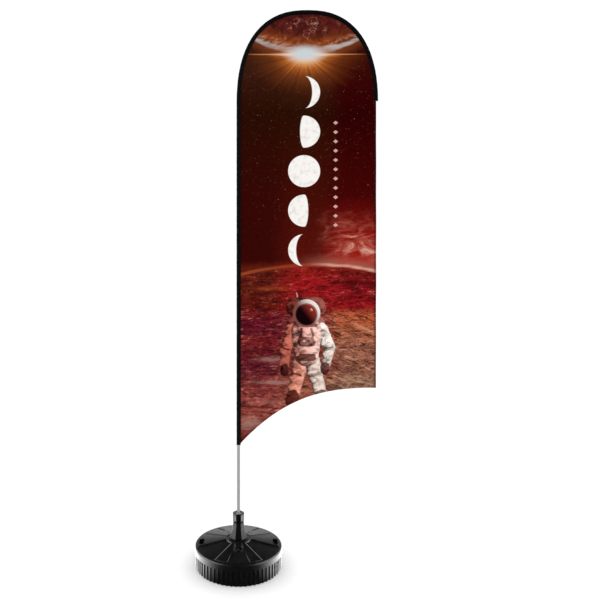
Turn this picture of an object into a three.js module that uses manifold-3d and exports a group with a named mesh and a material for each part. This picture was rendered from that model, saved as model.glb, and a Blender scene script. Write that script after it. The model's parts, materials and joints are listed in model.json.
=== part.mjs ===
// Flying banner on a fillable base: a fabric flag on a bent pole, held upright in a round tank.
//
// Units are millimetres and +Z is up. The origin is the middle of the tank's flat underside, on the
// pole's axis. The flag flies towards +X, its printed face looks along -Y.
//
// The tank is two moulded shells. A socket hangs from its deck, with two bushes in which the rotor
// turns: an octagonal turret on a steel spindle tube. The pole drops into the spindle and a lock nut
// squeezes a collet on it. The pole is three pieces pushed into each other. The last one is a thin
// rod that the flag's sleeve holds bent in an arch.

import * as THREE from 'three';
import { mergeVertices } from 'three/addons/utils/BufferGeometryUtils.js';
import Module from 'manifold-3d';

const wasm = await Module();
wasm.setup();

// ---------------------------------------------------------------- driving dimensions (mm)

const JOINT_GAP = 0.3;            // between pieces that are fixed to each other
const RUN_GAP = 0.35;             // between pieces that turn or slide on each other

// tank
const TANK_RADIUS = 220;          // the smooth band, which is the widest part
const TANK_WALL = 3;
const SKIRT_HEIGHT = 72;          // the ribbed lower shell
const SKIRT_GROOVE_DEPTH = 8;     // from the band down to the bottom of the skirt's grooves
const SKIRT_RIB_DEPTH = 5;
const SKIRT_RIB_COUNT = 60;
const SKIRT_RIB_SHARE = 0.42;     // of one pitch, at the rib's foot
const SKIRT_RIB_TAPER = 0.7;      // crown to foot
const LIP_DEPTH = 8;              // the upper shell's lip inside the skirt
const BAND_HEIGHT = 29;           // from the skirt up to where the shoulder starts
const SHOULDER_RUN = 9;           // how far the shoulder leans in
const DECK_RIM_INSET = 12;        // from the band to the edge of the deck cone
const SHOULDER_RISE = 6;
const DECK_RISE = 24;             // of the deck cone, from its rim to the plateau
const PLATEAU_RADIUS = 63;
const PLATEAU_RISE = 3;
const SECTOR_RISE = 2.6;          // front and back sectors stand over the cone
const SECTOR_SETBACK = 1;         // of their edge from the rim
const SECTOR_HALF_ANGLE = 33;     // degrees
const DECK_RIB_WIDTH = 6;
const DECK_RIB_RISE = 4;
const DECK_RIB_OVERLAP = 2;       // of its inner end with the plateau
const DECK_RIB_SETBACK = 1;       // of its outer end from the rim
const DECK_RIB_ANGLES = [15.5, 33, 78.5, 125, 152, 167];   // degrees from the front, to each side

// hand grips
const GRIP_INSET = 33;            // from the band to the middle of the grip
const GRIP_ANGLE = 93;            // degrees from the front, to each side
const GRIP_WIDTH = 30;            // along the radius
const GRIP_LENGTH = 60;
const GRIP_CORNER = 11;
const GRIP_FLOOR_DROP = 12;       // from the skirt's top down to the pocket's floor

// fill port and cap
const PORT_SETBACK = 42;          // from the plateau's edge to the port's axis, towards the front
const PORT_HOLE_RADIUS = 17.5;
const PORT_SEAT_RADIUS = 24.5;
const PORT_SEAT_LIFT = 1;         // over the deck at the seat's outer edge
const PORT_NECK_LENGTH = 13;
const GASKET_THICKNESS = 1.5;
const CAP_HEIGHT = 7;
const CAP_PLUG_SETBACK = 2;       // of the plug's foot from the neck's foot
const CAP_GRIP_WIDTH = 7;
const CAP_GRIP_DEPTH = 4;

// socket and bearings
const SOCKET_WALL = 3;
const SOCKET_FLANGE_WIDTH = 10.75;
const BUSH_WALL = 5;
const BUSH_LENGTH = 18;
const BUSH_FLANGE_THICKNESS = 2;
const BUSH_FLANGE_INSET = 2;      // of its edge from the socket's flange
const THRUST_PAD_THICKNESS = 4;

// rotor
const SPINDLE_WALL = 2;
const SPINDLE_PLUG_THICKNESS = 3;
const SPINDLE_STANDOUT = 1;       // over the turret's body
const TURRET_LIFT = 6;            // of the skirt's edge over the plateau
const TURRET_FLARE_HEIGHT = 36;
const TURRET_BODY_HEIGHT = 39;    // from the flare to the flat top
const TURRET_FLARE_RUN = 9;       // growth in half width from the body's foot to the skirt's edge
const TURRET_BODY_RUN = 6;        // and from the flat top to the body's foot
const TURRET_SHOULDER = 9.3;      // flat top outside the stem
const TURRET_WALL = 4;
const HUB_WALL = 4.1;             // round the spindle, inside the flare
const STEM_WALL = 3.3;            // at the collet's shoulder
const STEM_GRIP_HEIGHT = 25.7;    // of the stem beside the collet

// collet, washer and lock nut
const COLLET_LENGTH = 35;
const COLLET_LIFT = 7;            // of the collet's and the nut's foot over the turret's flat top
const COLLET_TAPER = 2.5;         // growth in radius from its foot to its shoulder
const COLLET_RING_WALL = 3.7;
const COLLET_SLOT = 1.5;
const WASHER_THICKNESS = 1.6;
const NUT_HEIGHT = 40;
const NUT_WALL = 11.8;            // from the stem to the flats
const NUT_CHAMFER_RUN = 2.8;
const NUT_CHAMFER = 4;
const NUT_RIM = 4;                // flat ring round the hollow top
const NUT_ROOF = 2.6;             // thickness at the hole

// pole
const POLE_RADIUS = 8.25;
const POLE_WALL = 1.25;
const POLE_LOWER_TOP = 1000;
const MIDDLE_WALL = 1.5;
const MIDDLE_TOP = 1800;
const INSERTION = 100;            // how far each piece goes into the one below
const FERRULE_LENGTH = 12;
const FERRULE_RIM = 0.35;         // stands out of the tube that it ends
const FOOT_PLUG_LENGTH = 16;
const FOOT_PLUG_FLANGE = 3;
const TIP_CAP_EASE = 2.3;         // of the tip cap in the sleeve's pocket
const STOP_RING_LENGTH = 12;
const STOP_RING_WALL = 1.1;

// flag
const SLEEVE_EASE = 1.05;         // of the sleeve round the pole
const SLEEVE_THICKNESS = 0.7;
const SLEEVE_BOTTOM = 605;
const ARCH_START = 2317;          // where the pole starts to bend
const ARCH_HALF_WIDTH = 348;      // of the pole's centreline
const ARCH_RISE = 474.4;
const ARCH_EXPONENT = 2.42;       // 2 would be an ellipse, and more is squarer
const ARCH_END_HEIGHT = 25;       // of the sleeve's end over the arch's start
const TIP_POCKET_FLOOR = 2;       // thickness of its closed end
const PANEL_THICKNESS = 1;
const PANEL_CORNER_HEIGHT = 892;  // lower corner, on the free side
const HEM_DROP = 292.5;           // from that corner to the pole's axis
const HEM_EXPONENT = 2.65;

// facets of round pieces
const TANK_FACETS = SKIRT_RIB_COUNT;
const ROUND_FACETS = 24;
const POLE_FACETS = 16;
const SLEEVE_FACETS = 12;
const TIP_ROD_FACETS = 8;
const ARCH_STEPS = 32;
const HEM_STEPS = 16;

const CUT_PAST = 1;               // how far a cutting shape runs past what it cuts

// ---------------------------------------------------------------- sizes that follow

const skirtGrooveRadius = TANK_RADIUS - SKIRT_GROOVE_DEPTH;
const skirtInnerRadius = skirtGrooveRadius - TANK_WALL;
const lipRadius = skirtInnerRadius * Math.cos(Math.PI / SKIRT_RIB_COUNT) - JOINT_GAP;
const bandTop = SKIRT_HEIGHT + BAND_HEIGHT;
const deckRimRadius = TANK_RADIUS - DECK_RIM_INSET;
const deckRimHeight = bandTop + SHOULDER_RISE;
const deckInnerHeight = deckRimHeight + DECK_RISE;
const deckSlope = DECK_RISE / (deckRimRadius - PLATEAU_RADIUS);
const plateauHeight = deckInnerHeight + PLATEAU_RISE;
const gripDistance = TANK_RADIUS - GRIP_INSET;
const gripFloor = SKIRT_HEIGHT - GRIP_FLOOR_DROP;
const portDistance = PLATEAU_RADIUS + PORT_SETBACK;
const portSeatHeight = deckHeight(portDistance + PORT_SEAT_RADIUS) + PORT_SEAT_LIFT;
const portNeckBottom = portSeatHeight - PORT_NECK_LENGTH;

const spindleBore = POLE_RADIUS + RUN_GAP;
const spindleRadius = spindleBore + SPINDLE_WALL;
const bushBore = spindleRadius + RUN_GAP;
const bushRadius = bushBore + BUSH_WALL;
const socketBore = bushRadius + JOINT_GAP;
const socketRadius = socketBore + SOCKET_WALL;
const socketFlangeRadius = socketRadius + SOCKET_FLANGE_WIDTH;
const bushFlangeRadius = socketFlangeRadius - BUSH_FLANGE_INSET;
const socketBottom = TANK_WALL + JOINT_GAP;
const thrustPadBottom = socketBottom + SOCKET_WALL + JOINT_GAP;
const thrustPadTop = thrustPadBottom + THRUST_PAD_THICKNESS;
const spindleBottom = thrustPadTop + JOINT_GAP;
const spindlePlugTop = spindleBottom + SPINDLE_PLUG_THICKNESS;
const turretBottom = plateauHeight + TURRET_LIFT;
const turretFlareTop = turretBottom + TURRET_FLARE_HEIGHT;
const turretTop = turretFlareTop + TURRET_BODY_HEIGHT;
const socketFlangeBottom = plateauHeight + JOINT_GAP;
const bushFlangeTop = turretBottom - JOINT_GAP;
const bushFlangeBottom = bushFlangeTop - BUSH_FLANGE_THICKNESS;
const socketFlangeTop = bushFlangeBottom - JOINT_GAP;

const stemBore = spindleRadius + JOINT_GAP;
const hubRadius = stemBore + HUB_WALL;
const colletFootRadius = stemBore - JOINT_GAP;
const colletShoulderRadius = colletFootRadius + COLLET_TAPER;
const colletRingRadius = spindleBore + COLLET_RING_WALL;
const stemRadius = colletShoulderRadius + JOINT_GAP + STEM_WALL;
const turretTopHalf = stemRadius + TURRET_SHOULDER;        // halves across the flats
const turretWaistHalf = turretTopHalf + TURRET_BODY_RUN;
const turretBottomHalf = turretWaistHalf + TURRET_FLARE_RUN;
const colletBottom = turretTop + COLLET_LIFT;
const colletTop = colletBottom + COLLET_LENGTH;
const stemTop = colletBottom + STEM_GRIP_HEIGHT;
const washerBottom = stemTop + JOINT_GAP;
const washerTop = washerBottom + WASHER_THICKNESS;
const washerBore = colletRingRadius + RUN_GAP;
const nutRoofBottom = washerTop + JOINT_GAP;
const nutBottom = colletBottom;
const nutTop = nutBottom + NUT_HEIGHT;
const nutHalf = stemRadius + NUT_WALL;
const nutTopHalf = nutHalf - NUT_CHAMFER_RUN;

const gasketBottom = portSeatHeight + JOINT_GAP;
const gasketTop = gasketBottom + GASKET_THICKNESS;
const capBottom = gasketTop + JOINT_GAP;
const capTop = capBottom + CAP_HEIGHT;
const capPlugRadius = PORT_HOLE_RADIUS * Math.cos(Math.PI / ROUND_FACETS) - RUN_GAP;
const capRadius = PORT_SEAT_RADIUS * Math.cos(Math.PI / ROUND_FACETS) - RUN_GAP;

const poleFoot = spindlePlugTop + JOINT_GAP;
const poleLowerBottom = poleFoot + FOOT_PLUG_FLANGE + JOINT_GAP;
const poleLowerBore = POLE_RADIUS - POLE_WALL;
const middleRadius = poleLowerBore - JOINT_GAP;
const middleBore = middleRadius - MIDDLE_WALL;
const middleBottom = POLE_LOWER_TOP - INSERTION;
const tipRodRadius = middleBore - JOINT_GAP;
const tipRodBottom = MIDDLE_TOP - INSERTION;

const sleeveBore = POLE_RADIUS + SLEEVE_EASE;
const sleeveRadius = sleeveBore + SLEEVE_THICKNESS;
const tipCapRadius = sleeveBore - TIP_CAP_EASE;
const panelInset = sleeveRadius + JOINT_GAP;
const panelRight = 2 * ARCH_HALF_WIDTH;
const archEnd = Math.PI - Math.asin((ARCH_END_HEIGHT / ARCH_RISE) ** (ARCH_EXPONENT / 2));
const archStep = archEnd / ARCH_STEPS;
const tipPocketStart = archEnd - archStep;                 // the pocket is the arch's last step
const tipPocketStartHeight = ARCH_RISE * Math.sin(tipPocketStart) ** (2 / ARCH_EXPONENT);
const tipPocketLength = tipPocketStartHeight - ARCH_END_HEIGHT;

// ---------------------------------------------------------------- helpers

const radians = THREE.MathUtils.degToRad;

/** A closed three.js geometry as a manifold solid, ready to be joined or cut. */
function toSolid(geometry) {
  const bare = geometry.clone();
  bare.deleteAttribute('normal');
  bare.deleteAttribute('uv');
  const merged = mergeVertices(bare, 1e-4);
  return new wasm.Manifold(new wasm.Mesh({
    numProp: 3,
    vertProperties: new Float32Array(merged.attributes.position.array),
    triVerts: new Uint32Array(merged.index.array),
  }));
}

/** A manifold solid back as a three.js geometry with flat facets. */
function toGeometry(solid) {
  const mesh = solid.getMesh();
  const geometry = new THREE.BufferGeometry();
  geometry.setAttribute('position', new THREE.BufferAttribute(mesh.vertProperties, 3));
  geometry.setIndex(new THREE.BufferAttribute(mesh.triVerts, 1));
  const faceted = geometry.toNonIndexed();
  faceted.computeVertexNormals();
  return faceted;
}

/** A named mesh of a solid. */
function makeMesh(name, solid, material) {
  const mesh = new THREE.Mesh(toGeometry(solid), material);
  mesh.name = name;
  return mesh;
}

/** The solid of revolution of a closed [radius, height] profile about Z. */
function turned(profile, facets, phase = 0) {
  const points = [...profile, profile[0]].map(([radius, height]) => new THREE.Vector2(radius, height));
  return toSolid(new THREE.LatheGeometry(points, facets, phase).rotateX(Math.PI / 2));
}

/** A round bar. */
function rod(radius, bottom, top, facets = ROUND_FACETS) {
  return turned([[0, bottom], [radius, bottom], [radius, top], [0, top]], facets);
}

/** A round tube with open ends. */
function tube(radius, bore, bottom, top, facets = ROUND_FACETS) {
  return turned([[bore, bottom], [radius, bottom], [radius, top], [bore, top]], facets);
}

/** An octagonal prism or flare with one flat to the front, from [half across flats, height] pairs. */
function octagonal(profile) {
  const corner = 1 / Math.cos(Math.PI / 8);
  return turned(profile.map(([half, height]) => [half * corner, height]), 8, Math.PI / 8);
}

/** A flat outline in XY, raised from one height to another. */
function prism(shape, bottom, top) {
  const depth = top - bottom;
  const geometry = new THREE.ExtrudeGeometry(shape, { depth, bevelEnabled: false, curveSegments: 4 });
  return toSolid(geometry.translate(0, 0, bottom));
}

/** A point in the plane from its distance and its angle in radians. */
function polar(radius, angle) {
  return new THREE.Vector2(radius * Math.cos(angle), radius * Math.sin(angle));
}

/** The corners of a regular polygon, with the first one at +X. */
function circleCorners(radius, facets) {
  return Array.from({ length: facets }, (_, index) => polar(radius, 2 * Math.PI * index / facets));
}

/** A solid turned about Z by an angle in degrees from the front (-Y), to the +X side. */
function turnFromFront(solid, degrees) {
  return solid.rotate([0, 0, degrees]);
}

/** Height of the deck cone at a distance from the axis. */
function deckHeight(radius) {
  return deckRimHeight + deckSlope * (deckRimRadius - radius);
}

// ---------------------------------------------------------------- the pole's bent centreline

/**
 * A point of the arch, which is half a superellipse standing on the pole.
 * The angle runs from 0 at the pole to pi at the free side. The inset moves the point inwards.
 */
function archPoint(angle, inset = 0) {
  const power = 2 / ARCH_EXPONENT;
  const across = -Math.sign(Math.cos(angle)) * Math.abs(Math.cos(angle)) ** power;
  const up = Math.sin(angle) ** power;
  const slopePower = ARCH_EXPONENT - 1;
  const normal = new THREE.Vector2(
    Math.sign(across) * Math.abs(across) ** slopePower / ARCH_HALF_WIDTH,
    up ** slopePower / ARCH_RISE,
  ).normalize();
  return new THREE.Vector2(
    ARCH_HALF_WIDTH * (1 + across) - inset * normal.x,
    ARCH_START + ARCH_RISE * up - inset * normal.y,
  );
}

/**
 * The pole's centreline from a height on the straight leg to an angle of the arch.
 * Its samples are even in the parameter: the straight leg is the first step, and the arch takes the
 * rest. A start height of null begins on the arch instead, at startAngle.
 */
class PoleLine extends THREE.Curve {
  constructor(startHeight, startAngle, endAngle, steps) {
    super();
    this.startHeight = startHeight;
    this.startAngle = startAngle;
    this.endAngle = endAngle;
    this.legShare = startHeight === null ? 0 : 1 / steps;
  }

  getPoint(t, target = new THREE.Vector3()) {
    if (t < this.legShare) {
      return target.set(0, 0, THREE.MathUtils.lerp(this.startHeight, ARCH_START, t / this.legShare));
    }
    const share = (t - this.legShare) / (1 - this.legShare);
    const point = archPoint(THREE.MathUtils.lerp(this.startAngle, this.endAngle, share));
    return target.set(point.x, 0, point.y);
  }

  getUtoTmapping(u) {
    return u;
  }
}

/** A section swept along the pole's centreline. */
function sweep(section, line, steps) {
  return toSolid(new THREE.ExtrudeGeometry(section, { extrudePath: line, steps, bevelEnabled: false }));
}

/** A full round section. */
function roundSection(radius, facets) {
  return new THREE.Shape(circleCorners(radius, facets));
}

/** A ring-shaped section for a sleeve or tube. */
function ringSection(radius, bore, facets) {
  const section = new THREE.Shape(circleCorners(radius, facets));
  section.holes.push(new THREE.Path(circleCorners(bore, facets)));
  return section;
}

// ---------------------------------------------------------------- materials

function plain(color, roughness, metalness = 0) {
  return new THREE.MeshStandardMaterial({ color, roughness, metalness });
}

const finishes = {
  blackPlastic: plain(0x1b1c1c, 0.42),
  nutPlastic: plain(0x161616, 0.35),
  bushPlastic: plain(0xd9d6cc, 0.5),
  colletPlastic: plain(0xcfcfcb, 0.4),
  gasketRubber: plain(0x101010, 0.85),
  steel: plain(0x9a9da0, 0.35, 1),
  aluminium: plain(0xb4b5b6, 0.38, 0.9),
  ringPlastic: plain(0xb5b3af, 0.45),
  glassFibre: plain(0x23241f, 0.5),
  sleeveCloth: plain(0x0b0a0b, 0.9),
  webbing: plain(0x0e0d0e, 0.95),
  flagCloth: plain(0x5a1714, 0.85),
};

// ---------------------------------------------------------------- tank

/** The lower shell: a flat floor and a wall with upright ribs all round. */
function tankBottom() {
  const pitch = 2 * Math.PI / SKIRT_RIB_COUNT;
  const ribRadius = skirtGrooveRadius + SKIRT_RIB_DEPTH;
  const footHalf = SKIRT_RIB_SHARE * pitch / 2;
  const crownHalf = footHalf * SKIRT_RIB_TAPER;
  const corners = [];
  for (let index = 0; index < SKIRT_RIB_COUNT; index += 1) {
    const middle = (index + 0.5) * pitch;
    corners.push(
      polar(skirtGrooveRadius, middle - footHalf),
      polar(ribRadius, middle - crownHalf),
      polar(ribRadius, middle + crownHalf),
      polar(skirtGrooveRadius, middle + footHalf),
    );
  }
  const body = prism(new THREE.Shape(corners), 0, SKIRT_HEIGHT - JOINT_GAP);
  return body.subtract(rod(skirtInnerRadius, TANK_WALL, SKIRT_HEIGHT, TANK_FACETS));
}

/** A wedge about the axis that reaches past the tank, to cut a sector out of a round piece. */
function wedge(halfAngle, bottom, top) {
  const reach = TANK_RADIUS * 1.5;
  const half = radians(halfAngle);
  const front = -Math.PI / 2;
  const corners = [new THREE.Vector2(0, 0), polar(reach, front - half), polar(reach, front + half)];
  return prism(new THREE.Shape(corners), bottom, top);
}

/** One bar on the deck, lying on the cone from the plateau to the rim, pointing to the front. */
function deckRib() {
  const inner = PLATEAU_RADIUS - DECK_RIB_OVERLAP;
  const outer = deckRimRadius - DECK_RIB_SETBACK;
  const length = (outer - inner) * Math.hypot(1, deckSlope);
  const middle = (inner + outer) / 2;
  const bar = new THREE.BoxGeometry(DECK_RIB_WIDTH, length, 2 * DECK_RIB_RISE);
  bar.rotateX(Math.atan(deckSlope));
  bar.translate(0, -middle, deckHeight(middle));
  return toSolid(bar);
}

/** The rounded block of one hand grip, grown by a margin all round. */
function gripBlock(margin, bottom, top) {
  const halfWidth = GRIP_WIDTH / 2 + margin;
  const halfLength = GRIP_LENGTH / 2 + margin;
  const corner = Math.min(GRIP_CORNER + margin, halfWidth);
  const shape = new THREE.Shape();
  shape.absarc(halfLength - corner, halfWidth - corner, corner, 0, Math.PI / 2);
  shape.absarc(corner - halfLength, halfWidth - corner, corner, Math.PI / 2, Math.PI);
  shape.absarc(corner - halfLength, corner - halfWidth, corner, Math.PI, 1.5 * Math.PI);
  shape.absarc(halfLength - corner, corner - halfWidth, corner, 1.5 * Math.PI, 2 * Math.PI);
  return prism(shape, bottom, top).translate([0, -gripDistance, 0]);
}

/**
 * The solid under the deck, drawn in by a wall all over, on a narrower foot that goes down inside
 * the skirt.
 */
function deckEnvelope(wall, footBottom) {
  const footRadius = lipRadius - wall;
  return turned([
    [0, footBottom],
    [footRadius, footBottom],
    [footRadius, SKIRT_HEIGHT + wall],
    [TANK_RADIUS - wall, SKIRT_HEIGHT + wall],
    [TANK_RADIUS - wall, bandTop - wall / 2],
    [TANK_RADIUS - SHOULDER_RUN - wall / 2, deckRimHeight - wall],
    [deckRimRadius - wall, deckRimHeight - wall],
    [PLATEAU_RADIUS - wall, deckInnerHeight - wall],
    [PLATEAU_RADIUS - wall, plateauHeight - wall],
    [0, plateauHeight - wall],
  ], TANK_FACETS);
}

/**
 * The front and back sectors, which stand a little over the deck cone. Their facets are half a step
 * out of line with the deck's, so that no two edges fall together.
 */
function raisedSectors() {
  const rim = deckRimRadius - SECTOR_SETBACK;
  const bottom = deckRimHeight - TANK_WALL;
  const cone = turned([
    [PLATEAU_RADIUS - SECTOR_SETBACK, bottom],
    [rim, bottom],
    [rim, deckHeight(rim) + SECTOR_RISE],
    [PLATEAU_RADIUS - SECTOR_SETBACK, deckInnerHeight + SECTOR_RISE],
  ], TANK_FACETS, Math.PI / TANK_FACETS);
  const sectors = wedge(SECTOR_HALF_ANGLE, 0, 2 * plateauHeight);
  return cone.intersect(sectors.add(turnFromFront(sectors, 180)));
}

/** The upper shell: band, shoulder, deck with its sectors and bars, grip pockets and fill port. */
function tankTop() {
  const lipBottom = SKIRT_HEIGHT - LIP_DEPTH;
  const farAbove = 2 * plateauHeight;

  let shell = deckEnvelope(0, lipBottom).add(raisedSectors());
  for (const angle of DECK_RIB_ANGLES) {
    shell = shell.add(turnFromFront(deckRib(), angle)).add(turnFromFront(deckRib(), -angle));
  }
  shell = shell.subtract(deckEnvelope(TANK_WALL, lipBottom - CUT_PAST));

  const middleOfWall = deckEnvelope(TANK_WALL / 2, gripFloor - 2 * TANK_WALL);
  const boss = rod(PORT_SEAT_RADIUS + TANK_WALL, portSeatHeight - TANK_WALL, farAbove)
    .add(rod(PORT_HOLE_RADIUS + TANK_WALL, portNeckBottom, portSeatHeight));
  const port = rod(PORT_SEAT_RADIUS, portSeatHeight, farAbove)
    .add(rod(PORT_HOLE_RADIUS, portNeckBottom - CUT_PAST, farAbove));
  shell = shell
    .add(boss.translate([0, -portDistance, 0]).intersect(middleOfWall))
    .subtract(port.translate([0, -portDistance, 0]));

  for (const angle of [GRIP_ANGLE, -GRIP_ANGLE]) {
    const cup = gripBlock(TANK_WALL, gripFloor - TANK_WALL, farAbove);
    const hollow = gripBlock(0, gripFloor, farAbove);
    shell = shell
      .add(turnFromFront(cup, angle).intersect(middleOfWall))
      .subtract(turnFromFront(hollow, angle));
  }
  return shell.subtract(rod(socketRadius + JOINT_GAP, 0, farAbove));
}

/** The flanged cup that hangs from the deck's middle down to the floor. */
function socketTube() {
  return turned([
    [0, socketBottom],
    [socketRadius, socketBottom],
    [socketRadius, socketFlangeBottom],
    [socketFlangeRadius, socketFlangeBottom],
    [socketFlangeRadius, socketFlangeTop],
    [socketBore, socketFlangeTop],
    [socketBore, socketBottom + SOCKET_WALL],
    [0, socketBottom + SOCKET_WALL],
  ], ROUND_FACETS);
}

/** The bush at the top of the socket. Its flange carries the turret. */
function upperBush() {
  return turned([
    [bushBore, bushFlangeTop - BUSH_LENGTH],
    [bushRadius, bushFlangeTop - BUSH_LENGTH],
    [bushRadius, bushFlangeBottom],
    [bushFlangeRadius, bushFlangeBottom],
    [bushFlangeRadius, bushFlangeTop],
    [bushBore, bushFlangeTop],
  ], ROUND_FACETS);
}

/** The bush at the foot of the socket. */
function lowerBush() {
  const bottom = thrustPadTop + JOINT_GAP;
  return tube(bushRadius, bushBore, bottom, bottom + BUSH_LENGTH);
}

/** The pad that the spindle's foot stands on. */
function thrustPad() {
  return rod(bushRadius, thrustPadBottom, thrustPadTop);
}

// ---------------------------------------------------------------- fill cap (about the port's axis)

/** The screw cap with a hollow plug and a raised bar across a round finger hollow. */
function fillCap() {
  const plugBottom = portNeckBottom + CAP_PLUG_SETBACK;
  const body = rod(capRadius, capBottom, capTop)
    .add(rod(capPlugRadius, plugBottom, capBottom + CUT_PAST));
  const bore = rod(capPlugRadius - TANK_WALL, plugBottom - CUT_PAST, capBottom);
  const fingerHollow = rod(capRadius - TANK_WALL, capTop - CAP_GRIP_DEPTH, capTop + CUT_PAST);
  const bar = toSolid(new THREE.BoxGeometry(CAP_GRIP_WIDTH, 4 * capRadius, 4 * CAP_GRIP_DEPTH)
    .translate(0, 0, capTop));
  return body.subtract(bore).subtract(fingerHollow.subtract(bar));
}

/** The flat ring under the cap's flange. */
function fillGasket() {
  return tube(capRadius, capPlugRadius + JOINT_GAP, gasketBottom, gasketTop);
}

// ---------------------------------------------------------------- rotor

/** The steel tube that takes the pole. */
function spindleTube() {
  return tube(spindleRadius, spindleBore, spindleBottom, turretTop + SPINDLE_STANDOUT);
}

/** The disc that closes the spindle's foot. */
function spindlePlug() {
  return rod(spindleBore * Math.cos(Math.PI / ROUND_FACETS) - JOINT_GAP, spindleBottom, spindlePlugTop);
}

/** The octagonal housing: flared skirt, tapered body, and a round threaded stem for the lock nut. */
function turret() {
  const outside = octagonal([
    [0, turretBottom],
    [turretBottomHalf, turretBottom],
    [turretWaistHalf, turretFlareTop],
    [turretTopHalf, turretTop],
    [0, turretTop],
  ]);
  const stem = rod(stemRadius, turretTop - CUT_PAST, stemTop);
  const hollow = turned([
    [hubRadius, turretBottom - CUT_PAST],
    [turretBottomHalf - TURRET_WALL, turretBottom - CUT_PAST],
    [turretBottomHalf - TURRET_WALL, turretBottom],
    [turretWaistHalf - TURRET_WALL, turretFlareTop - TURRET_WALL],
    [hubRadius, turretFlareTop - TURRET_WALL],
  ], ROUND_FACETS);
  const bore = turned([
    [0, turretBottom - CUT_PAST],
    [stemBore, turretBottom - CUT_PAST],
    [stemBore, colletBottom],
    [colletShoulderRadius + JOINT_GAP, stemTop],
    [colletShoulderRadius + JOINT_GAP, stemTop + CUT_PAST],
    [0, stemTop + CUT_PAST],
  ], ROUND_FACETS);
  return outside.add(stem).subtract(hollow).subtract(bore);
}

/** The tapered split ring that the lock nut squeezes on the pole. */
function collet() {
  const ring = turned([
    [spindleBore, colletBottom],
    [colletFootRadius, colletBottom],
    [colletShoulderRadius, stemTop],
    [colletRingRadius, stemTop],
    [colletRingRadius, colletTop],
    [spindleBore, colletTop],
  ], ROUND_FACETS);
  const slot = new THREE.BoxGeometry(COLLET_SLOT, 2 * colletRingRadius, 4 * COLLET_LENGTH)
    .translate(0, colletRingRadius, colletBottom);
  return ring.subtract(toSolid(slot));
}

/** The washer between the collet's shoulder and the nut's roof. */
function slipWasher() {
  return tube(stemRadius, washerBore, washerBottom, washerTop);
}

/** The octagonal nut with a threaded bore and a hollow top. */
function lockNut() {
  const hollowBottom = nutRoofBottom + NUT_ROOF;
  const outside = octagonal([
    [0, nutBottom],
    [nutTopHalf, nutBottom],
    [nutHalf, nutBottom + NUT_CHAMFER],
    [nutHalf, nutTop - NUT_CHAMFER],
    [nutTopHalf, nutTop],
    [0, nutTop],
  ]);
  const threadRadius = (stemRadius + RUN_GAP) / Math.cos(Math.PI / ROUND_FACETS);
  const thread = rod(threadRadius, nutBottom - CUT_PAST, nutRoofBottom);
  const hollow = turned([
    [0, nutRoofBottom - CUT_PAST],
    [washerBore, nutRoofBottom - CUT_PAST],
    [washerBore, hollowBottom],
    [nutTopHalf - NUT_RIM, nutTop],
    [nutTopHalf - NUT_RIM, nutTop + CUT_PAST],
    [0, nutTop + CUT_PAST],
  ], ROUND_FACETS);
  return outside.subtract(thread).subtract(hollow);
}

// ---------------------------------------------------------------- pole

/** The stopper in the pole's foot. */
function poleFootPlug() {
  const shank = poleLowerBore * Math.cos(Math.PI / POLE_FACETS) - JOINT_GAP;
  return rod(POLE_RADIUS, poleFoot, poleFoot + FOOT_PLUG_FLANGE, POLE_FACETS)
    .add(rod(shank, poleFoot, poleFoot + FOOT_PLUG_LENGTH, POLE_FACETS));
}

/** The ring round the mouth of a tube, where the next piece of the pole goes in. */
function ferrule(tubeRadius, insideRadius, height) {
  const bottom = height + JOINT_GAP;
  const top = bottom + FERRULE_LENGTH;
  return tube(tubeRadius + FERRULE_RIM, insideRadius + JOINT_GAP, bottom, top, POLE_FACETS);
}

/** The thin rod that the flag bends into the arch. */
function poleTipRod() {
  const line = new PoleLine(tipRodBottom, 0, tipPocketStart, ARCH_STEPS);
  return sweep(roundSection(tipRodRadius, TIP_ROD_FACETS), line, ARCH_STEPS);
}

/** The round cap on the rod's end, inside the tip pocket. */
function tipCap() {
  const start = archPoint(tipPocketStart);
  const along = archPoint(archEnd).sub(start).normalize();
  const centre = start.addScaledVector(along, tipCapRadius + JOINT_GAP);
  const ball = new THREE.SphereGeometry(tipCapRadius, SLEEVE_FACETS, SLEEVE_FACETS / 2);
  return toSolid(ball.translate(centre.x, 0, centre.y));
}

// ---------------------------------------------------------------- flag

/** The cloth tube round the pole, from its mouth to the tip pocket. */
function poleSleeve() {
  const end = tipPocketStart - archStep * JOINT_GAP / tipPocketLength;
  const line = new PoleLine(SLEEVE_BOTTOM, 0, end, ARCH_STEPS);
  return sweep(ringSection(sleeveRadius, sleeveBore, SLEEVE_FACETS), line, ARCH_STEPS);
}

/** The webbing pocket that ends the sleeve: a short tube with a closed end. */
function sleeveTipPocket() {
  const closure = archEnd - archStep * TIP_POCKET_FLOOR / tipPocketLength;
  const outerLine = new PoleLine(null, tipPocketStart, archEnd, 1);
  const innerLine = new PoleLine(null, tipPocketStart, closure, 1);
  const outside = sweep(roundSection(sleeveRadius, SLEEVE_FACETS), outerLine, 1);
  return outside.subtract(sweep(roundSection(sleeveBore, SLEEVE_FACETS), innerLine, 1));
}

/** Height of the flag's lower edge at a distance from the pole's axis. */
function hemHeight(x) {
  const share = (panelRight - x) / panelRight;
  return PANEL_CORNER_HEIGHT - HEM_DROP * share ** HEM_EXPONENT;
}

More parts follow.
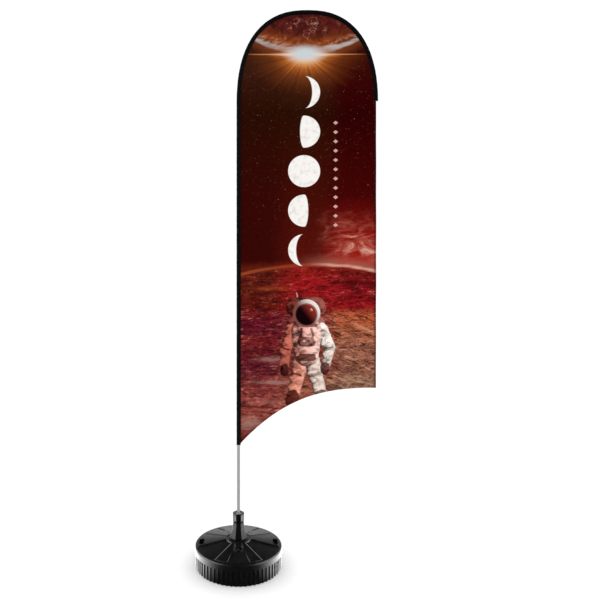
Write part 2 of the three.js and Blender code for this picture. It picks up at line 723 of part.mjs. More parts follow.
/** The printed cloth inside the arch, with its hollow lower edge. */
function flagPanel() {
  const corners = [];
  for (let index = 0; index <= HEM_STEPS; index += 1) {
    const x = THREE.MathUtils.lerp(panelInset, panelRight, index / HEM_STEPS);
    corners.push(new THREE.Vector2(x, hemHeight(x)));
  }
  const notchHeight = ARCH_START + ARCH_END_HEIGHT - JOINT_GAP;
  corners.push(
    new THREE.Vector2(panelRight, notchHeight),
    new THREE.Vector2(panelRight - panelInset, notchHeight),
  );
  for (let index = ARCH_STEPS; index >= 0; index -= 1) {
    corners.push(archPoint(index * archStep, panelInset));
  }
  const outline = new THREE.Shape(corners);
  const sheet = new THREE.ExtrudeGeometry(outline, { depth: PANEL_THICKNESS, bevelEnabled: false });
  sheet.rotateX(Math.PI / 2).translate(0, PANEL_THICKNESS / 2, 0);
  return toSolid(sheet);
}

// ---------------------------------------------------------------- assembly

const tank = new THREE.Group();
tank.add(
  makeMesh('tank_bottom', tankBottom(), finishes.blackPlastic),
  makeMesh('tank_top', tankTop(), finishes.blackPlastic),
  makeMesh('socket_tube', socketTube(), finishes.blackPlastic),
  makeMesh('upper_bush', upperBush(), finishes.bushPlastic),
  makeMesh('lower_bush', lowerBush(), finishes.bushPlastic),
  makeMesh('thrust_pad', thrustPad(), finishes.bushPlastic),
);

const fillPort = new THREE.Group();
fillPort.position.set(0, -portDistance, 0);
fillPort.add(
  makeMesh('fill_cap', fillCap(), finishes.nutPlastic),
  makeMesh('fill_gasket', fillGasket(), finishes.gasketRubber),
);

const rotor = new THREE.Group();
rotor.add(
  makeMesh('turret', turret(), finishes.blackPlastic),
  makeMesh('spindle_tube', spindleTube(), finishes.steel),
  makeMesh('spindle_plug', spindlePlug(), finishes.bushPlastic),
  makeMesh('collet', collet(), finishes.colletPlastic),
  makeMesh('slip_washer', slipWasher(), finishes.steel),
  makeMesh('lock_nut', lockNut(), finishes.nutPlastic),
);

const pole = new THREE.Group();
pole.add(
  makeMesh('pole_foot_plug', poleFootPlug(), finishes.bushPlastic),
  makeMesh('pole_lower', tube(POLE_RADIUS, poleLowerBore, poleLowerBottom, POLE_LOWER_TOP, POLE_FACETS),
    finishes.aluminium),
  makeMesh('pole_lower_ferrule', ferrule(POLE_RADIUS, middleRadius, POLE_LOWER_TOP), finishes.steel),
  makeMesh('pole_middle', tube(middleRadius, middleBore, middleBottom, MIDDLE_TOP, POLE_FACETS),
    finishes.glassFibre),
  makeMesh('pole_middle_ferrule', ferrule(middleRadius, tipRodRadius, MIDDLE_TOP), finishes.steel),
  makeMesh('pole_tip_rod', poleTipRod(), finishes.glassFibre),
  makeMesh('pole_tip_cap', tipCap(), finishes.ringPlastic),
  makeMesh('sleeve_stop_ring', tube(POLE_RADIUS + JOINT_GAP + STOP_RING_WALL, POLE_RADIUS + JOINT_GAP,
    SLEEVE_BOTTOM - JOINT_GAP - STOP_RING_LENGTH, SLEEVE_BOTTOM - JOINT_GAP), finishes.ringPlastic),
);

const flag = new THREE.Group();
flag.add(
  makeMesh('flag_panel', flagPanel(), finishes.flagCloth),
  makeMesh('pole_sleeve', poleSleeve(), finishes.sleeveCloth),
  makeMesh('sleeve_tip_pocket', sleeveTipPocket(), finishes.webbing),
);

const banner = new THREE.Group();
banner.add(tank, fillPort, rotor, pole, flag);

export default banner;
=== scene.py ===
"""Looks of a flying banner: a printed cloth flag on a bent pole in a round black fillable base.

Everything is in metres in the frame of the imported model: +Z is up along the pole, the flag reaches
towards +X and its printed face looks along -Y. Each sub-assembly is a class that holds its sizes,
makes its meshes as numpy grids and dresses them. Each finish is a small frozen class.
"""

import json
import logging
import math
from dataclasses import dataclass, field
from enum import Enum

import bmesh
import bpy
import numpy as np
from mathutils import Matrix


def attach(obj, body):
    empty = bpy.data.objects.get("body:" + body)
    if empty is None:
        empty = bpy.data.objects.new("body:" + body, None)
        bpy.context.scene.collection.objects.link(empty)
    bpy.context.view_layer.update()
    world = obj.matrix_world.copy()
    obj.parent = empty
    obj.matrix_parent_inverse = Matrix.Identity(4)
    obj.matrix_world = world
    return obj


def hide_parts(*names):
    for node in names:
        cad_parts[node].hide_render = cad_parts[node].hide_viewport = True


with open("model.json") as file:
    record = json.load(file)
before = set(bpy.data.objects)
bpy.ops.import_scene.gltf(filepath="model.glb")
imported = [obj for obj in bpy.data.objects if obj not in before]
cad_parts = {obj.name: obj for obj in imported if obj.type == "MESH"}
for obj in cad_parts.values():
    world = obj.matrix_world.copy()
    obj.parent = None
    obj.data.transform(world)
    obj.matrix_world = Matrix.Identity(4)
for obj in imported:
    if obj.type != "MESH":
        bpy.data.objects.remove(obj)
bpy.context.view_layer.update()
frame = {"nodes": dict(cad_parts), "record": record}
LOG = logging.getLogger("banner")
Array = np.ndarray
Pair = tuple[float, float]
Triple = tuple[float, float, float]
CLOTH_MAP = "Cloth"           # the UV map of the cloth pieces: flat metres over CLOTH_SPAN
CLOTH_SPAN = (0.8, 3.2)
WELD = 2e-6                   # points nearer than this are one point


# ---------------------------------------------------------------- numbers and grids

def smooth(value: Array, low: float, high: float) -> Array:
    """Goes from 0 to 1 as the value goes from low to high, with flat ends.

    Args:
        value: numbers of any shape.
        low: where the result is 0.
        high: where the result is 1.

    Returns:
        The cubic 3t^2 - 2t^3 of the clamped share t.
    """
    share = np.clip((value - low) / (high - low), 0, 1)
    return share * share * (3 - 2 * share)


def rounded(corners: list[Pair], cut: float | list[float], closed: bool = False,
            steps: int = 4) -> Array:
    """A polyline whose corners are replaced by parabolas.

    Each corner c becomes (1-s)^2 p + 2s(1-s) c + s^2 q, where p and q lie on its two sides at the
    cut's distance from it.

    Args:
        corners: the points of the polyline.
        cut: the distance from each corner at which its curve starts, for all or for each.
        closed: whether the last corner joins the first.
        steps: how many pieces each curve has.

    Returns:
        The points of the rounded line, as rows of two numbers.
    """
    points = np.array(corners, float)
    cuts = np.broadcast_to(np.array(cut, float), len(points))
    share = np.linspace(0, 1, steps + 1)[:, None]
    line = []
    for index, corner in enumerate(points):
        if not closed and index in (0, len(points) - 1):
            line.append(corner[None])
            continue
        before = points[index - 1] - corner
        after = points[(index + 1) % len(points)] - corner
        start = corner + before * min(0.45, cuts[index] / np.linalg.norm(before))
        end = corner + after * min(0.45, cuts[index] / np.linalg.norm(after))
        line.append((1 - share) ** 2 * start + 2 * share * (1 - share) * corner + share ** 2 * end)
    return np.concatenate(line)


def around(radius: Array, angle: Array, height: Array) -> Array:
    """Points from a distance, an angle from the front (-Y) towards +X, and a height."""
    return np.stack(np.broadcast_arrays(radius * np.sin(angle), -radius * np.cos(angle), height), -1)


def turns(count: int, phase: float = 0.0) -> Array:
    """Evenly spaced angles of one full turn, without its end."""
    return phase + np.arange(count) * (2 * math.pi / count)


def arc_length(points: Array) -> Array:
    """The length of a polyline up to each of its points."""
    return np.concatenate([[0], np.cumsum(np.linalg.norm(np.diff(points, axis=0), axis=1))])


def sampled(where: Array, at: Array, values: Array) -> Array:
    """Rows of two numbers, read off at new places by straight lines between the given ones."""
    return np.stack([np.interp(where, at, values[:, k]) for k in (0, 1)], -1)


def four_quarters(quarter: Array) -> Array:
    """A closed outline from its first quarter, mirrored over both axes."""
    signs = [(1, 1), (-1, 1), (-1, -1), (1, -1)]
    return np.concatenate([(quarter * s)[::1 if s[0] * s[1] > 0 else -1] for s in signs])


@dataclass(frozen=True)
class Grid:
    """A grid of points that becomes quads. Points that fall together are joined into one.

    Attributes:
        points: rows x columns x 3.
        wrap_columns: whether the last column joins the first.
        wrap_rows: whether the last row joins the first.
        uv: rows x columns x 2, where the piece's pattern needs them.
    """

    points: Array
    wrap_columns: bool = True
    wrap_rows: bool = False
    uv: Array | None = None

    def faces(self, first: int) -> Array:
        """The grid's quads, with its points numbered from first, turned outwards on a closed grid."""
        rows, columns = self.points.shape[:2]
        number = np.arange(rows * columns).reshape(rows, columns)
        if self.wrap_columns:
            number = np.concatenate([number, number[:, :1]], 1)
        if self.wrap_rows:
            number = np.concatenate([number, number[:1]], 0)
        quads = np.stack([number[:-1, :-1], number[:-1, 1:], number[1:, 1:], number[1:, :-1]], -1)
        quads = quads.reshape(-1, 4)
        flat = self.points.reshape(-1, 3)
        flat = flat - flat.mean(0)
        a, b, c, d = (flat[quads[:, k]] for k in range(4))
        volume = (a * np.cross(b, c)).sum() + (a * np.cross(c, d)).sum()
        return first + (quads[:, ::-1] if volume < 0 else quads)


def pinched(points: Array) -> Array:
    """The same slices with one more at each end, in which all points lie at the end slice's middle.

    Args:
        points: slices x points x 3.

    Returns:
        The slices, whose ends are closed by a fan.
    """
    ends = [np.broadcast_to(points[k].mean(0), points[k].shape)[None] for k in (0, -1)]
    return np.concatenate([ends[0], points, ends[1]])


def make_piece(name: str, grids: list[Grid], sharp_degrees: float = 38.0) -> bpy.types.Object:
    """One object from one or more grids.

    Args:
        name: the piece's name.
        grids: its surfaces.
        sharp_degrees: edges that turn by more than this stay crisp.

    Returns:
        The object, linked to the scene, at the origin.
    """
    vertices, faces, first = [], [], 0
    for grid in grids:
        vertices.append(grid.points.reshape(-1, 3))
        faces.append(grid.faces(first))
        first += len(vertices[-1])
    mesh = bpy.data.meshes.new(name)
    mesh.from_pydata(np.concatenate(vertices).tolist(), [], np.concatenate(faces).tolist())
    if grids[0].uv is not None:
        flat = np.concatenate([grid.uv.reshape(-1, 2) for grid in grids])
        corner = np.empty(len(mesh.loops), np.int32)
        mesh.loops.foreach_get("vertex_index", corner)
        mesh.uv_layers.new(name=CLOTH_MAP).data.foreach_set("uv", flat[corner].ravel())
    shape = bmesh.new()
    shape.from_mesh(mesh)
    bmesh.ops.remove_doubles(shape, verts=shape.verts, dist=WELD)
    shape.to_mesh(mesh)
    shape.free()
    mesh.polygons.foreach_set("use_smooth", np.ones(len(mesh.polygons), bool))
    mesh.set_sharp_from_angle(angle=math.radians(sharp_degrees))
    mesh.update()
    piece = bpy.data.objects.new(name, mesh)
    bpy.context.scene.collection.objects.link(piece)
    return piece


def place(piece: bpy.types.Object, body: "Body", finish: "Finish",
          replaces: tuple[str, ...] = ()) -> bpy.types.Object:
    """Dresses a piece, puts it on its body and reports it.

    Args:
        piece: the new object.
        body: the moving body that it rides on.
        finish: its finish.
        replaces: the frame's nodes that it stands for.

    Returns:
        The same object.
    """
    piece.data.materials.append(finish.material())
    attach(piece, body.value)
    if replaces:
        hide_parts(*replaces)
    LOG.info("%s: %d faces on %s", piece.name, len(piece.data.polygons), body.value)
    return piece


def lathe(profile: Array, facets: int = 96, closed: bool = True) -> Grid:
    """A surface of revolution about Z of (distance, height) points.

    Args:
        profile: the points, as rows.
        facets: how many sides it has.
        closed: whether the profile is a loop. If not, it starts and ends on the axis.

    Returns:
        The grid.
    """
    return Grid(around(profile[:, 0, None], turns(facets)[None], profile[:, 1, None]), wrap_rows=closed)


def shifted(grid: Grid, offset: Triple) -> Grid:
    """The same grid, moved."""
    return Grid(grid.points + np.array(offset), grid.wrap_columns, grid.wrap_rows, grid.uv)


# ---------------------------------------------------------------- shader nodes

Feed = "Signal | float | tuple | None"


class Signal:
    """The output of a node, with arithmetic that adds nodes."""

    def __init__(self, graph: "Graph", socket: bpy.types.NodeSocket) -> None:
        """Keeps the graph and the output socket."""
        self.graph, self.socket = graph, socket

    def __add__(self, other: Feed) -> "Signal":
        """This plus the other."""
        return self.graph.math("ADD", self, other)

    def __sub__(self, other: Feed) -> "Signal":
        """This minus the other."""
        return self.graph.math("SUBTRACT", self, other)

    def __rsub__(self, other: Feed) -> "Signal":
        """The other minus this."""
        return self.graph.math("SUBTRACT", other, self)

    def __mul__(self, other: Feed) -> "Signal":
        """This times the other."""
        return self.graph.math("MULTIPLY", self, other)

    def __truediv__(self, other: Feed) -> "Signal":
        """This over the other."""
        return self.graph.math("DIVIDE", self, other)

    def __abs__(self) -> "Signal":
        """This without its sign."""
        return self.graph.math("ABSOLUTE", self)

    __radd__, __rmul__ = __add__, __mul__


class Graph:
    """A node tree with short calls for the nodes that the finishes use."""

    def __init__(self, tree: bpy.types.NodeTree) -> None:
        """Keeps the tree."""
        self.tree = tree

    def add(self, kind: str, **settings: object) -> bpy.types.Node:
        """A new shader node of a kind, with its settings."""
        node = self.tree.nodes.new("ShaderNode" + kind)
        for key, value in settings.items():
            setattr(node, key, value)
        return node

    def feed(self, socket: bpy.types.NodeSocket, value: Feed) -> None:
        """Links a signal into a socket, or sets the socket's own value."""
        if isinstance(value, Signal):
            self.tree.links.new(value.socket, socket)
        elif value is not None:
            socket.default_value = value

    def math(self, operation: str, *values: Feed, clamp: bool = False) -> Signal:
        """A math node."""
        node = self.add("Math", operation=operation, use_clamp=clamp)
        for socket, value in zip(node.inputs, values):
            self.feed(socket, value)
        return Signal(self, node.outputs[0])

    def vector_math(self, operation: str, *values: Feed, scale: Feed = None) -> Signal:
        """A vector math node. Dot products and lengths come out as numbers."""
        node = self.add("VectorMath", operation=operation)
        for socket, value in zip(node.inputs, values):
            self.feed(socket, value)
        if scale is not None:
            self.feed(node.inputs["Scale"], scale)
        number = operation in ("DOT_PRODUCT", "LENGTH", "DISTANCE")
        return Signal(self, node.outputs["Value" if number else "Vector"])

    def vector(self, x: Feed, y: Feed, z: Feed = 0.0) -> Signal:
        """A vector from its three numbers."""
        node = self.add("CombineXYZ")
        for socket, value in zip(node.inputs, (x, y, z)):
            self.feed(socket, value)
        return Signal(self, node.outputs[0])

    def split(self, vector: Signal) -> tuple[Signal, Signal, Signal]:
        """The three numbers of a vector."""
        node = self.add("SeparateXYZ")
        self.feed(node.inputs[0], vector)
        return tuple(Signal(self, out) for out in node.outputs)

    def step(self, value: Feed, low: float, high: float, start: float = 0.0, end: float = 1.0) -> Signal:
        """Goes smoothly from start to end as the value goes from low to high."""
        node = self.add("MapRange", interpolation_type="SMOOTHSTEP")
        for socket, number in zip(node.inputs, (value, low, high, start, end)):
            self.feed(socket, number)
        return Signal(self, node.outputs[0])

    def length(self, vector: Feed) -> Signal:
        """The length of a vector."""
        return self.vector_math("LENGTH", vector)

    def fade(self, value: Feed, low: float, high: float) -> Signal:
        """Goes smoothly from 1 to 0 as the value goes from low to high."""
        return self.step(value, low, high, 1.0, 0.0)

    def near(self, value: Feed, low: float, high: float) -> Signal:
        """Goes smoothly from 1 to 0 as the value's size, whatever its sign, goes from low to high."""
        return self.fade(self.math("ABSOLUTE", value), low, high)

    def line(self, value: Feed, low: float, high: float, start: float = 0.0, end: float = 1.0) -> Signal:
        """Goes straight from start to end as the value goes from low to high, and stops there."""
        node = self.add("MapRange", clamp=True)
        for socket, number in zip(node.inputs, (value, low, high, start, end)):
            self.feed(socket, number)
        return Signal(self, node.outputs[0])

    def mix(self, share: Feed, first: Feed, second: Feed, blend: str = "MIX") -> Signal:
        """A mix of two colours."""
        node = self.add("Mix", data_type="RGBA", blend_type=blend)
        for socket, value in zip((node.inputs[0], node.inputs[6], node.inputs[7]), (share, first, second)):
            self.feed(socket, value)
        return Signal(self, node.outputs[2])

    def lay(self, color: Signal, code: str, share: Feed) -> Signal:
        """The colour with a share of an ink over it."""
        return self.mix(share, color, ink(code))

    def noise(self, where: Signal, scale: float, detail: float = 4.0, roughness: float = 0.55,
              twist: float = 0.0) -> Signal:
        """Soft noise from 0 to 1."""
        node = self.add("TexNoise")
        for key, value in (("Vector", where), ("Scale", scale), ("Detail", detail), ("Roughness", roughness),
                           ("Distortion", twist)):
            self.feed(node.inputs[key], value)
        return Signal(self, node.outputs["Fac"])

    def cells(self, where: Signal, scale: float, feature: str = "F1") -> Signal:
        """Cell noise: the distance to the nearest cell's point or edge."""
        node = self.add("TexVoronoi", feature=feature)
        self.feed(node.inputs["Vector"], where)
        self.feed(node.inputs["Scale"], scale)
        return Signal(self, node.outputs["Distance"])

    def ramp(self, value: Signal, stops: list[tuple[float, tuple]]) -> Signal:
        """A colour ramp through stops of (position, colour)."""
        node = self.add("ValToRGB")
        self.feed(node.inputs[0], value)
        marks = node.color_ramp.elements
        while len(marks) < len(stops):
            marks.new(1.0)
        for mark, (position, color) in zip(marks, stops):
            mark.position, mark.color = position, color
        return Signal(self, node.outputs[0])

    def use(self, group: "Effect", output: str, **values: Feed) -> Signal:
        """Places an effect's node group and gives one of its outputs."""
        node = self.add("Group", node_tree=group.tree())
        for key, value in values.items():
            self.feed(node.inputs[key.replace("_", " ")], value)
        return Signal(self, node.outputs[output])


def ink(code: str) -> tuple[float, float, float, float]:
    """A linear colour from a hex code such as 3c190f."""
    parts = [int(code[k:k + 2], 16) / 255 for k in (0, 2, 4)]
    return (*(c / 12.92 if c <= 0.04045 else ((c + 0.055) / 1.055) ** 2.4 for c in parts), 1.0)


def tinted(code: str, factor: float) -> tuple[float, float, float, float]:
    """The linear colour of a hex code, darker or paler by a factor."""
    return (*(c * factor for c in ink(code)[:3]), 1.0)


class Effect:
    """A shader node group that is built once and shared by the materials."""

    name = "effect"
    inputs: tuple[tuple[str, str, object], ...] = ()
    outputs: tuple[tuple[str, str], ...] = ()

    def tree(self) -> bpy.types.NodeTree:
        """The node group, made at its first use."""
        found = bpy.data.node_groups.get(self.name)
        if found:
            return found
        tree = bpy.data.node_groups.new(self.name, "ShaderNodeTree")
        for label, kind, value in self.inputs:
            socket = tree.interface.new_socket(label, in_out="INPUT", socket_type="NodeSocket" + kind)
            if value is not None:
                socket.default_value = value
        for label, kind in self.outputs:
            tree.interface.new_socket(label, in_out="OUTPUT", socket_type="NodeSocket" + kind)
        graph = Graph(tree)
        source = tree.nodes.new("NodeGroupInput")
        target = tree.nodes.new("NodeGroupOutput")
        values = {label: Signal(graph, source.outputs[label]) for label, _, _ in self.inputs}
        for label, value in self.wire(graph, values).items():
            graph.feed(target.inputs[label], value)
        return tree

    def wire(self, graph: Graph, given: dict[str, Signal]) -> dict[str, Signal]:
        """Builds the group's nodes and gives the value of each output."""
        raise NotImplementedError


class MouldedGrain(Effect):
    """The fine leathery texture of a moulded plastic surface, with faint flow lines."""

    name = "Moulded grain"
    inputs = (("Where", "Vector", None), ("Grain Scale", "Float", 900.0))
    outputs = (("Height", "Float"), ("Mottle", "Float"))

    def wire(self, graph: Graph, given: dict[str, Signal]) -> dict[str, Signal]:
        """Fine pits from cell noise over a soft waviness."""
        pits = graph.cells(given["Where"], given["Grain Scale"])
        waves = graph.noise(given["Where"], 22.0, 3.0)
        mottle = graph.noise(given["Where"], 70.0, 5.0, 0.6)
        return {"Height": pits * 0.35 + waves * 0.65, "Mottle": mottle}


class Scuffs(Effect):
    """Thin scratches in all directions, broken up into patches."""

    name = "Scuffs"
    inputs = (("Where", "Vector", None), ("Amount", "Float", 0.5))
    outputs = (("Mask", "Float"),)

    def wire(self, graph: Graph, given: dict[str, Signal]) -> dict[str, Signal]:
        """Narrow bands where two stretched noises cross their middle."""
        stretched = graph.vector_math("MULTIPLY", given["Where"], (14.0, 70.0, 40.0))
        other = graph.vector_math("MULTIPLY", given["Where"], (66.0, 12.0, 34.0))
        first = abs(graph.noise(stretched, 1.0, 3.0, 0.5, 1.2) - 0.5)
        second = abs(graph.noise(other, 1.3, 3.0, 0.5, 1.6) - 0.5)
        lines = graph.fade(graph.math("MINIMUM", first, second), 0.0, 0.006)
        patches = graph.step(graph.noise(given["Where"], 9.0, 2.0), 0.5, 0.66)
        return {"Mask": lines * patches * given["Amount"]}


class Dust(Effect):
    """Fine dust that lies on faces that look up, thicker in patches."""

    name = "Dust"
    inputs = (("Where", "Vector", None), ("Amount", "Float", 0.3))
    outputs = (("Mask", "Float"),)

    def wire(self, graph: Graph, given: dict[str, Signal]) -> dict[str, Signal]:
        """The face's upward share, times patchy noise and fine specks."""
        normal = graph.add("NewGeometry")
        up = graph.split(Signal(graph, normal.outputs["Normal"]))[2]
        flat = graph.step(up, 0.35, 0.98)
        patches = graph.noise(given["Where"], 17.0, 6.0, 0.65)
        specks = graph.fade(graph.cells(given["Where"], 420.0), 0.0, 0.22)
        return {"Mask": flat * given["Amount"] * (graph.step(patches, 0.35, 0.8) * 0.7 + specks * 0.6)}


class Weave(Effect):
    """A plain weave or a warp knit in flat cloth coordinates, given in metres."""

    name = "Weave"
    inputs = (("Across", "Float", None), ("Along", "Float", None), ("Pitch", "Float", 0.0008),
              ("Slant", "Float", 0.0))
    outputs = (("Height", "Float"), ("Shade", "Float"))

    def wire(self, graph: Graph, given: dict[str, Signal]) -> dict[str, Signal]:
        """Two crossed waves of threads: the larger one is on top. The shade is painted shade in the gaps and
        a faint painted highlight on the tops.
        """
        turn = 2 * math.pi
        across = graph.math("SINE",
                            (given["Across"] + given["Along"] * given["Slant"]) / given["Pitch"] * turn)
        along = graph.math("SINE", given["Along"] / given["Pitch"] * turn)
        over = abs(across * along)
        top = graph.math("MAXIMUM", abs(across), abs(along))
        height = top * 0.6 + over * 0.4
        return {"Height": height, "Shade": graph.line(height, 0.1, 0.9, 0.72, 1.06)}


class LimbShape(Effect):
    """A tapered round-ended limb in the flat print: how far a point is outside it, and its light."""

    name = "Limb"
    inputs = (("Point", "Vector", None), ("From", "Vector", None), ("To", "Vector", None),
              ("Thick", "Float", 0.02), ("Thin", "Float", 0.02))
    outputs = (("Outside", "Float"), ("Light", "Float"))

    def wire(self, graph: Graph, given: dict[str, Signal]) -> dict[str, Signal]:
        """The distance to the nearest point of the limb's middle line, less the width there.

        The light is that of a round limb lit from the upper right.
        """
        reach = graph.vector_math("SUBTRACT", given["To"], given["From"])
        offset = graph.vector_math("SUBTRACT", given["Point"], given["From"])
        share = graph.math("DIVIDE", graph.vector_math("DOT_PRODUCT", offset, reach),
                           graph.vector_math("DOT_PRODUCT", reach, reach), clamp=True)
        away = graph.vector_math("SUBTRACT", offset, graph.vector_math("SCALE", reach, scale=share))
        distance = graph.length(away)
        width = given["Thick"] + (given["Thin"] - given["Thick"]) * share
        side = graph.vector_math("DOT_PRODUCT", away, (0.62, 0.45, 0.0)) / width
        share_out = distance / width
        bulge = graph.math("SQRT", graph.math("SUBTRACT", 1.0, share_out * share_out, clamp=True))
        return {"Outside": distance - width, "Light": bulge * 0.62 + side * 0.5 + 0.12}


# ---------------------------------------------------------------- finishes

@dataclass(frozen=True)
class Finish:
    """A procedural material.

    Attributes:
        name: the material's name.
        color: its main colour, as a hex code.
        roughness: from 0, a mirror, to 1, chalk.
    """

    name: str
    color: str
    roughness: float

    def material(self) -> bpy.types.Material:
        """The material, made at its first use."""
        found = bpy.data.materials.get(self.name)
        if found:
            return found
        made = bpy.data.materials.new(self.name)
        made.use_nodes = True
        made.diffuse_color = ink(self.color)
        shader = made.node_tree.nodes["Principled BSDF"]
        shader.inputs["Roughness"].default_value = self.roughness
        graph = Graph(made.node_tree)
        self.paint(graph, shader)
        return made

    def paint(self, graph: Graph, shader: bpy.types.Node) -> None:
        """Feeds the shader."""
        raise NotImplementedError

    def cover(self, graph: Graph, shader: bpy.types.Node, color: Signal, roughness: Signal) -> None:
        """Feeds the shader's colour and roughness."""
        graph.feed(shader.inputs["Base Color"], color)
        graph.feed(shader.inputs["Roughness"], roughness)

    def object_point(self, graph: Graph) -> Signal:
        """The place on the object, in metres."""
        return Signal(graph, graph.add("TexCoord").outputs["Object"])

    def bump(self, graph: Graph, shader: bpy.types.Node, height: Signal, depth: float,
             strength: float) -> None:
        """Raises the surface by a height map: depth in metres, strength from 0 to 1."""
        node = graph.add("Bump")
        node.inputs["Distance"].default_value = depth
        node.inputs["Strength"].default_value = strength
        graph.feed(node.inputs["Height"], height)
        graph.feed(shader.inputs["Normal"], Signal(graph, node.outputs["Normal"]))


@dataclass(frozen=True)
class MouldedPlastic(Finish):
    """Satin moulded plastic with a fine grain, faint scuffs and a little dust on top.

    Attributes:
        dust: how much dust lies on faces that look up.
        worn: the colour of its scuffs.
        shine: the shader's specular level.
    """

    dust: float = 0.08
    worn: str = "3c3d3d"
    shine: float = 0.4

    def paint(self, graph: Graph, shader: bpy.types.Node) -> None:
        """Mottled colour, rougher where it is dusty or scuffed, with a grain bump."""
        where = self.object_point(graph)
        grain = MouldedGrain()
        mottle = graph.use(grain, "Mottle", Where=where)
        scuffs = graph.use(Scuffs(), "Mask", Where=where, Amount=0.35)
        dust = graph.use(Dust(), "Mask", Where=where, Amount=self.dust)
        color = graph.mix(mottle, tinted(self.color, 0.72), tinted(self.color, 1.35))
        color = graph.lay(color, self.worn, scuffs)
        color = graph.lay(color, "8f8b84", dust * 0.35)
        graph.feed(shader.inputs["Base Color"], color)
        rough = graph.line(mottle, 0.2, 0.8, self.roughness * 0.8, self.roughness * 1.25)
        graph.feed(shader.inputs["Roughness"], rough + dust * 0.25 + scuffs * 0.1)
        shader.inputs["Specular IOR Level"].default_value = self.shine
        self.bump(graph, shader, graph.use(grain, "Height", Where=where), 0.0002, 0.22)


@dataclass(frozen=True)
class PlainPlastic(Finish):
    """Pale technical plastic: faint mottling, turning marks and a fine grain."""

    def paint(self, graph: Graph, shader: bpy.types.Node) -> None:
        """A little darker in patches, with rings as a lathe leaves them."""
        where = self.object_point(graph)
        mottle = graph.use(MouldedGrain(), "Mottle", Where=where, Grain_Scale=1500.0)
        height = graph.split(where)[2]
        rings = graph.math("SINE", height * 9000.0)
        self.cover(graph, shader, graph.mix(mottle, tinted(self.color, 0.8), ink(self.color)),
                   graph.line(mottle, 0.2, 0.8, self.roughness * 0.85, self.roughness * 1.2))
        self.bump(graph, shader, mottle * 0.8 + rings * 0.2, 0.0001, 0.4)


@dataclass(frozen=True)
class DrawnMetal(Finish):
    """Drawn and anodised or plated tube: streaks along its length and faint handling marks.

    Attributes:
        streak: the streaks' contrast.
        metal: how far the surface is bare metal, the rest a matt film.
    """

    streak: float = 0.12
    metal: float = 0.85

    def paint(self, graph: Graph, shader: bpy.types.Node) -> None:
        """Fine streaks along Z in colour and roughness."""
        where = self.object_point(graph)
        lengthwise = graph.vector_math("MULTIPLY", where, (1400.0, 1400.0, 6.0))
        streaks = graph.noise(lengthwise, 1.0, 3.0)
        marks = graph.use(Scuffs(), "Mask", Where=where, Amount=0.4)
        smudge = graph.noise(where, 24.0, 4.0)
        dark = tinted(self.color, 1 - self.streak)
        self.cover(graph, shader, graph.mix(streaks, dark, ink(self.color)),
                   graph.line(smudge, 0.25, 0.75, self.roughness * 0.85, self.roughness * 1.25)
                   + marks * 0.2)
        shader.inputs["Metallic"].default_value = self.metal
        shader.inputs["Specular IOR Level"].default_value = 0.5 * self.metal
        self.bump(graph, shader, streaks, 0.00006, 0.3)


@dataclass(frozen=True)
class GlassFibre(Finish):
    """Pultruded glass fibre: dark resin with long pale fibres just under the surface."""

    def paint(self, graph: Graph, shader: bpy.types.Node) -> None:
        """Thin pale lines along the rod over a dark base."""
        where = self.object_point(graph)
        fibres = graph.noise(graph.vector_math("MULTIPLY", where, (1600.0, 1600.0, 14.0)), 1.0, 3.0)
        self.cover(graph, shader, graph.mix(graph.step(fibres, 0.5, 0.75), ink(self.color), ink("6a6a58")),
                   graph.line(fibres, 0.2, 0.8, self.roughness * 0.8, self.roughness * 1.2))
        self.bump(graph, shader, fibres, 0.00008, 0.4)


@dataclass(frozen=True)
class Rubber(Finish):
    """Matt rubber with a fine bloom."""

    def paint(self, graph: Graph, shader: bpy.types.Node) -> None:
        """Greyish bloom in patches over black."""
        where = self.object_point(graph)
        bloom = graph.noise(where, 120.0, 5.0)
        self.cover(graph, shader, graph.mix(bloom * 0.3, ink(self.color), ink("4a4a4a")),
                   graph.line(bloom, 0.3, 0.7, self.roughness * 0.85, 1.0))
        self.bump(graph, shader, bloom, 0.0001, 0.4)


@dataclass(frozen=True)
class WovenBand(Finish):
    """Black woven cloth or webbing on the sleeve's flat coordinates, with lint and wear on its edges.

    Attributes:
        pitch: distance between threads, in metres.
        slant: how far the threads lean.
    """

    pitch: float = 0.0008
    slant: float = 0.0

    def paint(self, graph: Graph, shader: bpy.types.Node) -> None:
        """Thread shading, patchy fading and a few pale fibres."""
        across, along, _ = graph.split(cloth_point(graph))
        weave = Weave()
        shade = graph.use(weave, "Shade", Across=across, Along=along, Pitch=self.pitch, Slant=self.slant)
        where = graph.vector(across, along)
        fade = graph.noise(graph.vector(across * 3.0, along), 14.0, 4.0)
        lint = graph.fade(graph.cells(where, 260.0), 0.0, 0.07)
        color = graph.mix(fade, tinted(self.color, 0.6), tinted(self.color, 1.5))
        # painted shade between the threads and a faint painted highlight on their tops
        color = graph.mix(1.0, color, graph.vector(shade, shade, shade), "MULTIPLY")
        color = graph.lay(color, "3f3b3b", lint * 0.1)
        self.cover(graph, shader, color,
                   graph.line(fade, 0.2, 0.8, self.roughness * 0.9, self.roughness))
        shader.inputs["Specular IOR Level"].default_value = 0.08
        self.bump(graph, shader, graph.use(weave, "Height", Across=across, Along=along, Pitch=self.pitch,
                                           Slant=self.slant), 0.00015, 0.5)


@dataclass(frozen=True)
class SewingThread(Finish):
    """Twisted polyester thread."""

    def paint(self, graph: Graph, shader: bpy.types.Node) -> None:
        """Small changes of shade from stitch to stitch."""
        where = self.object_point(graph)
        shade = graph.noise(where, 500.0, 3.0)
        self.cover(graph, shader, graph.mix(shade, tinted(self.color, 0.5), ink(self.color)),
                   graph.line(shade, 0.2, 0.8, self.roughness * 0.8, self.roughness))
        self.bump(graph, shader, shade, 0.0001, 0.5)


